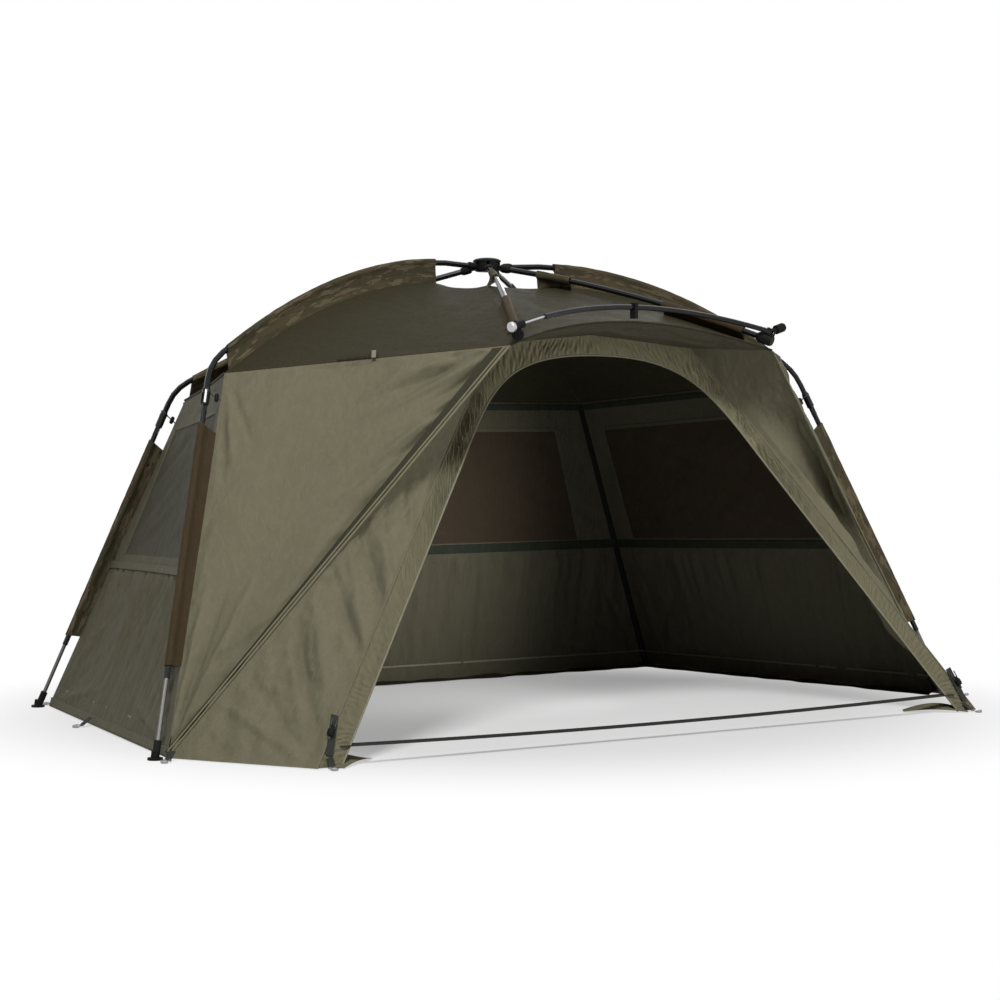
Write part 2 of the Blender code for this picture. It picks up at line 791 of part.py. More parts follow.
up = Vector((0, 0, 1))
roofs = {
    "roof_front": (roof_panel("peak_left", "peak_right", Vector((0, peak_edge_back, peak_edge_rise))), up),
    "roof_front_right": (roof_panel("peak_right", "front_right", Vector()), up),
    "roof_right": (roof_panel("front_right", "rear_right", Vector((-wall_sag / 2, 0, 0))), up),
    "roof_rear": (roof_panel("rear_right", "rear_left", Vector((0, -wall_sag / 2, 0))), up),
    "roof_left": (roof_panel("rear_left", "front_left", Vector((wall_sag / 2, 0, 0))), up),
    "roof_front_left": (roof_panel("front_left", "peak_left", Vector()), up),
}
wall_right = wall(roofs["roof_right"][0][-1], front_hem, rear_hem, Vector((-wall_sag, 0, 0)))
wall_rear = wall(roofs["roof_rear"][0][-1], rear_hem, mirrored(rear_hem), Vector((0, -wall_sag, 0)))


def wing_right():
    """A triangle beside the door and a twisted panel from its ridge to the door band."""
    top = list(reversed(roofs["roof_front_right"][0][-1]))
    outer = list(reversed(leg_outer))
    rows = []
    for i, t in enumerate(ladder(leg_steps)):
        fan = [point.lerp(front_hem, t) for point in top]
        panel_row = across(fan[-1], outer[i], Vector((wing_sag, wing_sag, 0)) * math.sin(math.pi * t), wing_steps)
        rows.append(fan + panel_row[1:])
    return rows


def flipped_rows(rows):
    return [[mirrored(p) for p in row] for row in rows]


valance_front = roofs["roof_front"][0][-1]
valance_back = [mirrored(p) for p in top_rise] + list(reversed(top_rise))[1:]
valance = [[a.lerp(b, t) for a, b in zip(valance_front, valance_back)] for t in ladder(wing_steps)]
half_inner = leg_inner + top_inner[1:]
half_outer = leg_outer + top_rise[1:]
band = [[mirrored(p) for p in half_inner] + list(reversed(half_inner))[1:],
        [mirrored(p) for p in half_outer] + list(reversed(half_outer))[1:]]
forward = Vector((0, -1, 0))
right_side = Vector((1, 0, 0))
panels = dict(roofs)
panels["wall_right"] = (wall_right, right_side)
panels["wall_left"] = (flipped_rows(wall_right), -right_side)
panels["wall_rear"] = (wall_rear, -forward)
panels["wing_right"] = (wing_right(), right_side + forward)
panels["wing_left"] = (flipped_rows(wing_right()), forward - right_side)
panels["peak_valance"] = (valance, forward - up)
panels["door_band"] = (band, forward)


def key(point):
    return tuple(round(value, 5) for value in point)


def panel_faces(rows, outward):
    """A panel's faces as lists of keys, all facing out; faces that shrink to a line are left out."""
    faces = []
    total = Vector()
    for low, high in zip(rows, rows[1:]):
        for a, b, c, d in zip(low, low[1:], high[1:], high):
            corners_of = list(dict.fromkeys(key(p) for p in (a, b, c, d)))
            if len(corners_of) > 2:
                faces.append(corners_of)
                total += (c - a).cross(d - b)
    if total.dot(outward) < 0:
        faces = [list(reversed(face)) for face in faces]
    return faces


def face_normal(face):
    points = [Vector(p) for p in face]
    normal = Vector()
    for a, b in zip(points, points[1:] + points[:1]):
        normal += a.cross(b)
    return normal.normalized()


skin_faces = {name: panel_faces(rows, outward) for name, (rows, outward) in panels.items()}
skin_normals = {}
for faces in skin_faces.values():
    for face in faces:
        for place in face:
            skin_normals[place] = skin_normals.get(place, Vector()) + face_normal(face)


def skin_panel(faces):
    """A closed sheet under its outer surface, inset from its seams."""
    edges = {}
    for face in faces:
        for a, b in zip(face, face[1:] + face[:1]):
            edges[(a, b)] = face_normal(face)
    rim = {pair: normal for pair, normal in edges.items() if (pair[1], pair[0]) not in edges}
    inward = {}
    for (a, b), normal in rim.items():
        aim_in = normal.cross(Vector(b) - Vector(a)).normalized()
        inward.setdefault(a, []).append(aim_in)
        inward.setdefault(b, []).append(aim_in)
    work = bmesh.new()
    outer, inner = {}, {}
    for place in {p for face in faces for p in face}:
        point = Vector(place)
        if place in inward:
            first, second = inward[place]
            point += (first + second) / max(0.3, 1 + first.dot(second)) * seam_gap / 2
        outer[place] = work.verts.new(point)
        inner[place] = work.verts.new(point - skin_normals[place].normalized() * cloth)
    for face in faces:
        work.faces.new([outer[p] for p in face])
        work.faces.new([inner[p] for p in reversed(face)])
    for a, b in rim:
        if a < b:
            work.faces.new([outer[b], outer[a], inner[a]])
            work.faces.new([outer[b], inner[a], inner[b]])
        else:
            work.faces.new([outer[b], outer[a], inner[b]])
            work.faces.new([outer[a], inner[a], inner[b]])
    bmesh.ops.triangulate(work, faces=work.faces)
    mesh = bpy.data.meshes.new("panel")
    work.to_mesh(mesh)
    work.free()
    return mesh


panel_bodies = {"roof_front": "peak_right", "peak_valance": "peak_right", "door_band": "rib_front_right"}
panel_bodies.update({"roof_front_" + side: "rib_front_" + side for side in ("left", "right")})
panel_bodies.update({"roof_" + side: "rib_front_" + side for side in ("left", "right")})
panel_bodies.update({"roof_rear": "rib_rear_right", "wall_rear": "rib_rear_right"})
panel_bodies.update({"wall_" + side: "rib_rear_" + side for side in ("left", "right")})
panel_bodies.update({"wing_" + side: "rib_front_" + side for side in ("left", "right")})
for name, faces in skin_faces.items():
    node(name, skin_panel(faces), panel_bodies[name], roof_olive if name.startswith("roof") else skin_olive)


# Sleeves: a tube round each pole with a web that reaches down to the skin's seam
def part_of(line, first, last):
    """The piece of a line of stations between two shares of it."""
    count = len(line) - 1
    places = [first * count] + [i for i in range(count + 1) if first * count < i < last * count] + [last * count]
    pieces = []
    for place in places:
        i = min(int(place), count - 1)
        pieces.append(line[i].lerp(line[i + 1], place - i))
    return pieces


def sleeve(stations, seam, shares, radius, clearance=web_clearance):
    poles = part_of(stations, *shares)
    falls = [q - p for p, q in zip(poles, part_of(seam, *shares))]
    bore = (radius + sleeve_slack) / math.cos(math.pi / sleeve_sides)
    skin = bore + sleeve_wall
    work = bmesh.new()
    rings = []
    for i, (p, fall) in enumerate(zip(poles, falls)):
        before, after = poles[max(0, i - 1)], poles[min(len(poles) - 1, i + 1)]
        tangent = (after - before).normalized()
        down = fall.normalized()
        side = tangent.cross(down).normalized()
        stretch = 1 / math.sqrt(1 - down.dot(tangent) ** 2)
        depth = fall.length - clearance
        ring_angles = [math.tau * (k + 0.5) / sleeve_sides for k in range(sleeve_sides)]
        hole = [p + side * (bore * math.sin(a)) + down * (bore * stretch * math.cos(a)) for a in ring_angles]
        wrap = [p + side * (skin * math.sin(a)) + down * (skin * stretch * math.cos(a)) for a in ring_angles]
        wrap[0] = p + side * web_half + down * depth
        wrap[-1] = p - side * web_half + down * depth
        rings.append(([work.verts.new(v) for v in hole], [work.verts.new(v) for v in wrap]))
    count = sleeve_sides
    for (hole_a, wrap_a), (hole_b, wrap_b) in zip(rings, rings[1:]):
        for k in range(count):
            n = (k + 1) % count
            work.faces.new((wrap_a[k], wrap_a[n], wrap_b[n], wrap_b[k]))
            work.faces.new((hole_a[n], hole_a[k], hole_b[k], hole_b[n]))
    for hole, wrap in (rings[0], rings[-1]):
        for k in range(count):
            n = (k + 1) % count
            work.faces.new((hole[k], hole[n], wrap[n], wrap[k]))
    bmesh.ops.recalc_face_normals(work, faces=work.faces)
    mesh = bpy.data.meshes.new("sleeve")
    work.to_mesh(mesh)
    work.free()
    return mesh


for name, (shoulder, foot, bulge) in corners.items():
    node("roof_sleeve_" + name, sleeve(*ridges[name], roof_sleeve_shares, rib_radius), "rib_" + name, camo)
    seam_top = ridges[name][1][-1]
    hem = front_hem if "front" in name else rear_hem
    hem = mirrored(hem) if "left" in name else hem
    leg_line = [shoulder.lerp(foot, t) for t in ladder(leg_steps)]
    leg_seam = [seam_top.lerp(hem, t) for t in ladder(leg_steps)]
    node("leg_sleeve_" + name, sleeve(leg_line, leg_seam, leg_sleeve_shares, leg_radius), "leg_" + name, camo)
for name in peaks:
    upper = sleeve(*ridges[name], peak_upper_shares, rib_radius, peak_web_clearance)
    lower = sleeve(*ridges[name], peak_lower_shares, rib_radius, peak_web_clearance)
    node(name + "_sleeve_upper", upper, name, camo)
    node(name + "_sleeve_lower", lower, name, skin_olive)


# Ground strap: flat webbing behind the feet of the door band
def ground_strap():
    out = door_half_width + (arch_spring_out - door_half_width) * strap_height / arch_spring_height
    lean = Vector((0, door_lean, 1)).normalized()
    inward = Vector((0, 1, -door_lean)).normalized()
    middle = on_door(0, strap_height) + inward * (cloth + strap_thick / 2 + fit * 2)
    size = (2 * (out + strap_overlap), strap_thick, strap_width)
    return block(size, middle, lean, Vector((1, 0, 0)))


node("ground_strap", ground_strap(), "rib_front_right", webbing, smooth=False)
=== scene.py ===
import math
from collections import namedtuple

import bpy
import numpy as np
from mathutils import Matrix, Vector, noise


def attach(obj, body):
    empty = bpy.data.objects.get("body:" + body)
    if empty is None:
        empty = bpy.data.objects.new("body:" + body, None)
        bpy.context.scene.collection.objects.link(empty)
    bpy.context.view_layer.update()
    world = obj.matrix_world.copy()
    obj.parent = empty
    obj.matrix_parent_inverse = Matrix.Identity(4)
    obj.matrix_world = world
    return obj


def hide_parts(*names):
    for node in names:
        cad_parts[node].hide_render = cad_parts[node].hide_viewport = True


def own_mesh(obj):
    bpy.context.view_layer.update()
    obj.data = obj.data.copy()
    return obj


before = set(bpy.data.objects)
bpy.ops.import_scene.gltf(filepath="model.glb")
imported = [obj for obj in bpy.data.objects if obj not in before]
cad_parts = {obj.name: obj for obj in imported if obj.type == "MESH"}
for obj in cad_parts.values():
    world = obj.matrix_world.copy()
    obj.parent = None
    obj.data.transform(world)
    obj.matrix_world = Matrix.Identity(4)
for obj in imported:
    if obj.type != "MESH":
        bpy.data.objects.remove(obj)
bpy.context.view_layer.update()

# Studio: a long lens in front of the left-hand corner and a pale floor that fades to white. A large
# soft lamp stands high in front, a weak one low before the door, one behind, and a small one inside
# the door lifts the rear wall. The even sky is white only to the camera and in reflections.
scene = bpy.context.scene


def put(name, data):
    """Adds a camera, a lamp or a mesh to the scene."""
    made = bpy.data.objects.new(name, data)
    scene.collection.objects.link(made)
    return made


eye = bpy.data.cameras.new("studio_camera")
eye.sensor_width = 36
eye.lens = 88.45
eye.shift_y = 0.0104
eye.clip_end = 60
camera = put("studio_camera", eye)
camera.location = (-3.8729, -5.7693, 0.8106)
camera.rotation_euler = (math.radians(87.947), 0, math.radians(-33.716))
scene.camera = camera
scene.view_settings.view_transform = "Standard"


class Wire:
    """A node tree, or one output of it; sums written on outputs add their Math nodes."""

    def __init__(self, tree, socket=None):
        self.tree = tree
        self.socket = socket

    def node(self, kind, sockets=(), output=0, **settings):
        """Adds a node, sets it and its sockets, and gives one of its outputs."""
        made = self.tree.nodes.new(kind)
        for key, value in settings.items():
            setattr(made, key, value)
        for key, value in dict(sockets).items():
            if isinstance(value, Wire):
                self.tree.links.new(value.socket, made.inputs[key])
            else:
                made.inputs[key].default_value = value
        return Wire(self.tree, made.outputs[output])

    def maths(self, operation, *values):
        return self.node("ShaderNodeMath", enumerate(values), operation=operation)

    def __add__(self, other):
        return self.maths("ADD", self, other)

    __radd__ = __add__

    def __sub__(self, other):
        return self.maths("SUBTRACT", self, other)

    def __rsub__(self, other):
        return self.maths("SUBTRACT", other, self)

    def __mul__(self, other):
        return self.maths("MULTIPLY", self, other)

    __rmul__ = __mul__


def rise(wire, low, high):
    """0 below low, 1 above high and a smooth rise between."""
    span = {"Value": wire, "From Min": low, "From Max": high}
    return wire.node("ShaderNodeMapRange", span, interpolation_type="SMOOTHSTEP")


def colours(mask, first, second):
    """One colour where the mask is 0 and another where it is 1."""
    first, second = (c if isinstance(c, Wire) else (*c, 1) for c in (first, second))
    return mask.node("ShaderNodeMix", {"Factor": mask, 6: first, 7: second}, 2, data_type="RGBA")


def mottle(place, scale, detail=3.0, roughness=0.55):
    """Soft noise from 0 to 1 at a number of spots a metre."""
    sockets = {"Vector": place, "Scale": scale, "Detail": detail, "Roughness": roughness}
    return place.node("ShaderNodeTexNoise", sockets)


def stretched(place, scale):
    """Places scaled by axis, for streaks."""
    return place.node("ShaderNodeMapping", {"Vector": place, "Scale": scale})


def seen(tree):
    """1 for what the camera sees, directly, in a mirror finish or through something clear."""
    direct, mirrored, clear = (tree.node("ShaderNodeLightPath", output=f"Is {kind} Ray")
                               for kind in ("Camera", "Glossy", "Transmission"))
    return tree.maths("MAXIMUM", direct, tree.maths("MAXIMUM", mirrored, clear))


def surface(shader, end):
    """Joins a shader to the end of its tree."""
    shader.tree.links.new(shader.socket, shader.tree.nodes[end].inputs["Surface"])


sky = bpy.data.worlds.new("studio_sky")
sky.use_nodes = True
scene.world = sky
air = Wire(sky.node_tree)
lit = air.node("ShaderNodeBackground", {"Color": (0.98, 0.99, 1, 1), "Strength": 0.16})
glow = air.node("ShaderNodeBackground", {"Color": (1, 1, 1, 1), "Strength": 1})
surface(air.node("ShaderNodeMixShader", {0: seen(air), 1: lit, 2: glow}), "World Output")

floor_half = 30
fade_from, fade_to, least_white = 0.85, 1.75, 0.32
ground = bpy.data.materials.new("studio_floor")
ground.use_nodes = True
floor_tree = Wire(ground.node_tree)
floor_place = floor_tree.node("ShaderNodeTexCoord", output="Object")
reach = floor_tree.node("ShaderNodeVectorMath", {0: floor_place}, "Value", operation="LENGTH")
fade = rise(reach, fade_from, fade_to) * (1 - least_white) + least_white
matt = floor_tree.node("ShaderNodeBsdfDiffuse", {"Color": (0.62, 0.62, 0.62, 1)})
bright = floor_tree.node("ShaderNodeEmission", {"Color": (1, 1, 1, 1), "Strength": 1})
white_floor = {0: fade * seen(floor_tree), 1: matt, 2: bright}
surface(floor_tree.node("ShaderNodeMixShader", white_floor), "Material Output")
floor_mesh = bpy.data.meshes.new("studio_floor")
floor_corners = [(x * floor_half, y * floor_half, 0) for x, y in ((-1, -1), (1, -1), (1, 1), (-1, 1))]
floor_mesh.from_pydata(floor_corners, [], [(0, 1, 2, 3)])
floor_mesh.materials.append(ground)
put("studio_floor", floor_mesh)

wide_open, narrow = math.pi, 1.45
lamps = (
    ("front_lamp", (-4.8, -6.0, 9.0), (0, 0, 0.5), 2.4, 1190, wide_open),
    ("low_lamp", (1.7, -6.2, 1.5), (0, 0, 0.5), 1.8, 110, wide_open),
    ("back_lamp", (6.0, 6.5, 2.6), (0, 0, 0.4), 3.0, 170, wide_open),
    ("door_lamp", (0.62, -0.42, 0.50), (-0.46, 0.80, 0.38), 0.30, 3.4, narrow),
)
for lamp_name, spot, aim, width, power, spread in lamps:
    lamp = bpy.data.lights.new(lamp_name, "AREA")
    lamp.size = width
    lamp.energy = power
    lamp.spread = spread
    holder = put(lamp_name, lamp)
    holder.location = spot
    holder.rotation_euler = (Vector(aim) - Vector(spot)).to_track_quat("-Z", "Y").to_euler()
    holder.visible_camera = False


# Frame: alloy tubes with a gloss black coat, bare gunmetal ones where the legs slide, moulded nylon
# at the joints and a bright turned steel adjuster. Their shapes are the part's own solids, so they
# only get their finishes here.
def finish(name, **constants):
    """A new material with the values that are the same all over it, its shader, and the places on
    the piece that its patterns go by."""
    material = bpy.data.materials.new(name)
    material.use_nodes = True
    shader = material.node_tree.nodes["Principled BSDF"]
    for key, value in constants.items():
        shader.inputs[key.replace("_", " ")].default_value = value
    return material, shader, Wire(material.node_tree).node("ShaderNodeTexCoord", output="Object")


def feed(shader, **wires):
    """Joins wires to the inputs that they are named for."""
    for key, wire in wires.items():
        wire.tree.links.new(wire.socket, shader.inputs[key.replace("_", " ")])


def bump(height, strength, distance):
    sockets = {"Strength": strength, "Distance": distance, "Height": height}
    return height.node("ShaderNodeBump", sockets, "Normal")


def coated_tube(name, colour, scuffed, metal, dull):
    """A tube's coat, with a faint grain and a few rubbed spots."""
    material, shader, place = finish(name, Metallic=metal, Specular_IOR_Level=0.2, Coat_Roughness=0.08)
    speckle = mottle(place, 260)
    rub = rise(mottle(place, 34, 5.0), 0.60, 0.74)
    feed(shader, Base_Color=colours(rub, colour, scuffed), Roughness=dull + rub * 0.16 + speckle * 0.06,
         Coat_Weight=0.14 - rub * 0.08, Normal=bump(speckle, 0.12, 0.0002))
    return material


black_tube = coated_tube("gloss_black_tube", (0.005, 0.005, 0.005), (0.016, 0.015, 0.014), 0.0, 0.17)
leg_tube = coated_tube("gunmetal_tube", (0.115, 0.112, 0.108), (0.18, 0.176, 0.17), 0.85, 0.30)

nylon, nylon_shader, nylon_place = finish("moulded_nylon", Specular_IOR_Level=0.06)
nylon_grain = mottle(nylon_place, 900, 2.0)
nylon_cloud = mottle(nylon_place, 45, 4.0)
feed(nylon_shader, Base_Color=colours(nylon_cloud, (0.005, 0.005, 0.005), (0.010, 0.010, 0.009)),
     Roughness=0.42 + nylon_cloud * 0.16 + nylon_grain * 0.06, Normal=bump(nylon_grain, 0.35, 0.0003))

turned_steel, steel_shader, steel_place = finish("turned_steel", Metallic=1.0)
steel_lines = mottle(steel_place, 900, 2.0)
steel_cloud = mottle(steel_place, 160)
feed(steel_shader, Base_Color=colours(steel_cloud, (0.42, 0.42, 0.43), (0.62, 0.62, 0.63)),
     Roughness=0.22 + steel_lines * 0.14, Normal=bump(steel_lines, 0.2, 0.0002))

for node_name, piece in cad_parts.items():
    if node_name.startswith("lower_leg"):
        piece.material_slots[0].material = leg_tube
    elif node_name in ("adjuster_rod", "adjuster_knob"):
        piece.material_slots[0].material = turned_steel
    elif node_name.startswith(("rib_", "leg_front", "leg_rear", "tension_bar")) or node_name.endswith("_arm"):
        piece.material_slots[0].material = black_tube
    elif node_name.startswith(("hub", "root", "foot", "clamp", "bar_")):
        piece.material_slots[0].material = nylon


# Roof: six panels of coated polyester that meet under the ribs and the peak arms. They are sewn
# edge to edge, sag a little between the poles and are drawn tight at the corners. Each panel is
# split at its middle, and each half rides on its own pole.
def spot_at(*values):
    return np.array(values, float)


def unit(vector):
    return vector / np.linalg.norm(vector)


def between(first, last, share):
    """The place at a share of the way from one to another."""
    return first * (1 - share) + last * share


flip = spot_at(-1, 1, 1)
hands = {"left": flip, "right": spot_at(1, 1, 1)}
level = spot_at(1, 1, 0)
upward = spot_at(0, 0, 1)
hub_axis = spot_at(0, 0.1015, 1.251)
skin_apex = spot_at(0, 0.1015, 1.173)
skin_drop = hub_axis - skin_apex
pin_out, root_reach = 0.030, 0.0452
crown_share = 1 / 11
roof_sag, eaves_bow = 0.016, 0.009
front_bow = spot_at(0, 0.068, 0.069)

# For each pole: the end of its arch, its bulge, what its fork cuts off, and the skin's corner there.
Arm = namedtuple("Arm", "end bulge cut_back corner")
arms = {
    "rib_front_right": Arm(spot_at(0.981, -0.0935, 0.963), 0.090, 0.045, spot_at(0.945, -0.1035, 0.937)),
    "rib_rear_right": Arm(spot_at(0.735, 0.6135, 0.905), 0.030, 0.045, spot_at(0.698, 0.6215, 0.874)),
    "peak_right": Arm(spot_at(0.411, -0.6635, 1.030), 0.020, 0.0, spot_at(0.425, -0.6495, 1.004)),
}
for arm_name, arm in list(arms.items()):
    left_name = arm_name.replace("right", "left")
    arms[left_name] = arm._replace(end=arm.end * flip, corner=arm.corner * flip)


def arm_pin(arm_name):
    return hub_axis + unit((arms[arm_name].end - hub_axis) * level) * pin_out


def arm_curve(arm_name, share):
    """Points on a pole's centre line; 0 is the mouth of its root and 1 the end of its arch."""
    arm, pin = arms[arm_name], arm_pin(arm_name)
    mouth = pin + unit(arm.end - pin + upward * 4 * arm.bulge) * root_reach
    share = np.asarray(share)[:, None] * (1 - arm.cut_back / np.linalg.norm(arm.end - pin))
    return mouth + (arm.end - mouth) * share + upward * (4 * arm.bulge * share * (1 - share))


def smooth(share):
    share = np.clip(share, 0, 1)
    return share * share * (3 - 2 * share)


def arm_seam(arm_name, share):
    """Points on the seam under a pole, over the same shares."""
    drop = arms[arm_name].corner - arm_curve(arm_name, [1])[0]
    ease = smooth(np.asarray(share) / 0.2)[:, None]
    return arm_curve(arm_name, share) - skin_drop * (1 - ease) + drop * ease


def roof_seam(arm_name, down):
    """Points on the seam from the skin's apex at 0 to the roof's corner at 1."""
    line = arm_seam(arm_name, np.clip((down - crown_share) / (1 - crown_share), 0, 1))
    first = arm_seam(arm_name, [0])[0]
    start = skin_apex + (first - skin_apex) * (down / crown_share)[:, None]
    return np.where((down < crown_share)[:, None], start, line)


def roof_points(left, right, bow, across, down):
    a, b = roof_seam(left, down)[:, None], roof_seam(right, down)[:, None]
    u, v = across[None, :, None], down[:, None, None]
    return between(a, b, u) + 4 * u * (1 - u) * (bow * v ** 2 - upward * roof_sag * np.sin(math.pi * v))


def steps(length, pitch, fine=()):
    """Shares of a length at an even pitch, with closer lines near each of some places."""
    count = max(2, int(round(length / pitch)))
    marks = set(np.linspace(0, 1, count + 1).round(5))
    for off in (-0.006, -0.004, -0.002, 0, 0.002, 0.004, 0.006):
        marks |= {round(min(1, max(0, place + off / length)), 5) for place in fine}
    return np.array(sorted(marks))


def both_ways(marks):
    """Shares of a whole width from the shares of its half."""
    return np.concatenate([marks / 2, 0.5 + marks[1:] / 2])


def facing(grid, outward):
    """A grid turned so that its normals look outward, with the normals."""
    normals = np.cross(np.gradient(grid, axis=1), np.gradient(grid, axis=0))
    normals /= np.maximum(np.linalg.norm(normals, axis=2, keepdims=True), 1e-12)
    if (normals * outward).sum() < 0:
        return grid[:, ::-1], -normals[:, ::-1]
    return grid, normals


def ripple(points, along, wide, long, seed):
    """Noise in creases that run along a direction: wide apart across it and long along it."""
    along = unit(np.asarray(along, float))
    flat = points.reshape(-1, 3)
    run = flat @ along
    places = (flat - run[:, None] * along) / wide + run[:, None] * along / long + seed * 7.31
    return np.array([noise.noise(Vector(place)) for place in places]).reshape(points.shape[:-1])


def ripples(points, seed, *rows):
    """The sum of some ripples; each row says along what, how wide, long and deep, and its own seed."""
    return sum(ripple(points, along, wide, long, seed + own) * deep for along, wide, long, deep, own in rows)


def fall_line(normals):
    """The steepest way up a sheet."""
    mean = unit(normals.mean((0, 1)))
    return unit(upward - mean * mean[2])


def crease(points, start, end, width, depth, through=None):
    """A fold along the line between two places, deepest at its middle. On a sheet that bows or
    twists, the line is laid on it by looking through it in a direction."""
    if through is not None:
        points, start, end = (p - (p @ through)[..., None] * through for p in (points, start, end))
    way = end - start
    share = np.clip(((points - start) @ way) / (way @ way), 0, 1)
    away = np.linalg.norm(points - start - share[..., None] * way, axis=-1)
    ends = np.sin(math.pi * np.clip(share, 0.02, 0.98)) ** 0.6
    return depth * ends * np.exp(-(away / width) ** 2)


def run_along(points, axis=0):
    """Distances along each line of points, from 0 at its first."""
    lengths = np.linalg.norm(np.diff(points, axis=axis), axis=-1)
    return np.concatenate([0 * np.take(lengths, [0], axis), np.cumsum(lengths, axis)], axis)


def border(grid, reach):
    """0 at the edges of a grid and 1 away from them."""
    down = run_along(grid[:, grid.shape[1] // 2])
    over = run_along(grid[int(grid.shape[0] * 0.7)])
    down, over = (smooth(run / reach) * smooth((run[-1] - run) / reach) for run in (down, over))
    return down[:, None] * over[None, :]


def halves(grid):
    """The columns of a panel's two halves, which meet at its middle."""
    middle = grid.shape[1] // 2
    return slice(None, middle + 1), slice(middle, None)


def shaped(name, verts, faces, paints):
    """A piece made of points and faces."""
    mesh = bpy.data.meshes.new(name)
    mesh.from_pydata(verts.tolist(), [], faces)
    for paint in paints:
        mesh.materials.append(paint)
    return put(name, mesh)


def lay_cut(piece, cut):
    """Keeps each point's place on the flat cloth, in metres."""
    corners = np.empty(len(piece.data.loops), np.int32)
    piece.data.loops.foreach_get("vertex_index", corners)
    piece.data.uv_layers.new(name="cut").data.foreach_set("uv", cut[corners].reshape(-1))


cloth_thickness = 0.0012


def solid_cloth(name, grid, normals, paint, inset):
    """A closed sheet on a grid of points, with its own normals, and its width, length and area. An
    inset is the cloth let in outside, the cells of the grid where it is let in, and its lining."""
    rows, cols = grid.shape[:2]
    count = rows * cols
    index = np.arange(count).reshape(rows, cols)
    verts = np.concatenate([grid.reshape(-1, 3), (grid - normals * cloth_thickness).reshape(-1, 3)])
    top = np.stack([index[:-1, :-1], index[:-1, 1:], index[1:, 1:], index[1:, :-1]], -1).reshape(-1, 4)
    loop = np.concatenate([index[0, :-1], index[:-1, -1], index[-1, :0:-1], index[:0:-1, 0]])
    after = np.roll(loop, -1)
    rim = np.stack([after, loop, loop + count, after + count], -1)
    faces = np.concatenate([top, top[:, ::-1] + count, rim])
    piece = shaped(name, verts, faces.tolist(), [paint] + ([inset[0], inset[2]] if inset else []))
    mesh = piece.data

    over, down = run_along(grid, 1), run_along(grid)
    cut = np.stack([over - over[:, -1:] / 2, down], -1).reshape(-1, 2)
    lay_cut(piece, np.concatenate([cut, cut]))

    whole = np.concatenate([normals.reshape(-1, 3), -normals.reshape(-1, 3)])
    rim_normal = np.cross(verts[rim[:, 2]] - verts[rim[:, 1]], verts[rim[:, 0]] - verts[rim[:, 1]])
    rim_normal /= np.maximum(np.linalg.norm(rim_normal, axis=1, keepdims=True), 1e-12)
    sheet_normals = whole[faces[:len(faces) - len(rim)].reshape(-1)]
    mesh.polygons.foreach_set("use_smooth", [True] * len(faces))
    mesh.normals_split_custom_set(np.concatenate([sheet_normals, np.repeat(rim_normal, 4, axis=0)]).tolist())
    if inset:
        cells = inset[1].reshape(-1).astype(int)
        slots = np.concatenate([cells, cells * 2, np.zeros(len(rim), int)])
        mesh.polygons.foreach_set("material_index", slots)

    first = np.cross(grid[:-1, 1:] - grid[:-1, :-1], grid[1:, :-1] - grid[:-1, :-1])
    second = np.cross(grid[1:, :-1] - grid[1:, 1:], grid[:-1, 1:] - grid[1:, 1:])
    area = (np.linalg.norm(first, axis=2) + np.linalg.norm(second, axis=2)).sum() / 2
    return piece, float(over[:, -1].max()), float(down[-1].max()), float(area)


def hang(piece, body, stands_for=None):
    """Puts a piece on its body and hides the solid that it replaces."""
    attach(piece, body)
    if stands_for:
        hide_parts(stands_for)
    return piece


def cut_cloth(name, sheet, paint, body, rests_on=None,
              stands_for=None, inset=None):
    """Makes a sheet from a grid and its normals and hangs it on a body."""
    piece, wide, long, area = solid_cloth(name, *sheet, paint, inset)
    hang(piece, body, stands_for)
    wide, long = wide * 1.002, max(long, area / wide) * 1.002
    return piece


def fold_up(piece, way, anchor):
    """Gives a piece a mesh of its own; the way and the anchor are not used."""
    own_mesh(piece)


def roof_gather(piece, body):
    """Gives a roof panel's half a mesh of its own."""
    way = unit((arms[body].end - hub_axis) * level)
    fold_up(piece, (way[1], -way[0], 0), arm_pin(body))


def coated_cloth(name, colour, worn, crinkle, painted_light_span=None):
    """Coated polyester: a fine plain weave, small creases from being packed, and a dull sheen; between
    two distances along its cut it may be painted lighter, as painted light."""
    material, shader, place = finish(name, Specular_IOR_Level=0.07)
    cut = place.node("ShaderNodeUVMap", uv_map="cut")
    cloud = mottle(place, 2.4, 4.0)
    small = mottle(stretched(place, (1, 1, 0.35)), 34, 5.0, 0.62)
    folds = mottle(stretched(place, (1.3, 1.3, 0.5)), 9, 4.0, 0.5)
    over, along = (place.node("ShaderNodeSeparateXYZ", {"Vector": cut}, k) for k in (0, 1))
    thread = math.tau / 0.0016
    weave = place.maths("SINE", over * thread) * place.maths("SINE", along * thread)
    ridges = 1 - place.maths("ABSOLUTE", small - 0.5) * 9
    crest = rise(ridges, 0.55, 1.0)
    tone = colours(cloud, colour, tuple(c * 1.16 for c in colour))
    # Painted light: the colour turns lighter between two distances along the cut.
    if painted_light_span:
        tone = colours(rise(along, *painted_light_span), tone, tuple(c * 1.9 for c in colour))
    tone = colours(crest * 0.35, tone, worn)
    height = small * crinkle + folds * 0.8 * crinkle + weave * 0.02
    feed(shader, Base_Color=tone, Roughness=0.56 + cloud * 0.12 - crest * 0.06,
         Normal=bump(height, 0.9, 0.008))
    return material


roof_cloth = coated_cloth("roof_polyester", (0.026, 0.0235, 0.0125), (0.035, 0.032, 0.019), 0.4)
wall_cloth = coated_cloth("wing_polyester", (0.124, 0.114, 0.074), (0.156, 0.146, 0.099), 0.9)
# The walls and the valance get the wing's cloth darkened: painted shade.
side_cloth_painted_shade = coated_cloth("wall_polyester_painted_shade", (0.078, 0.072, 0.048), (0.098, 0.093, 0.065), 0.9)

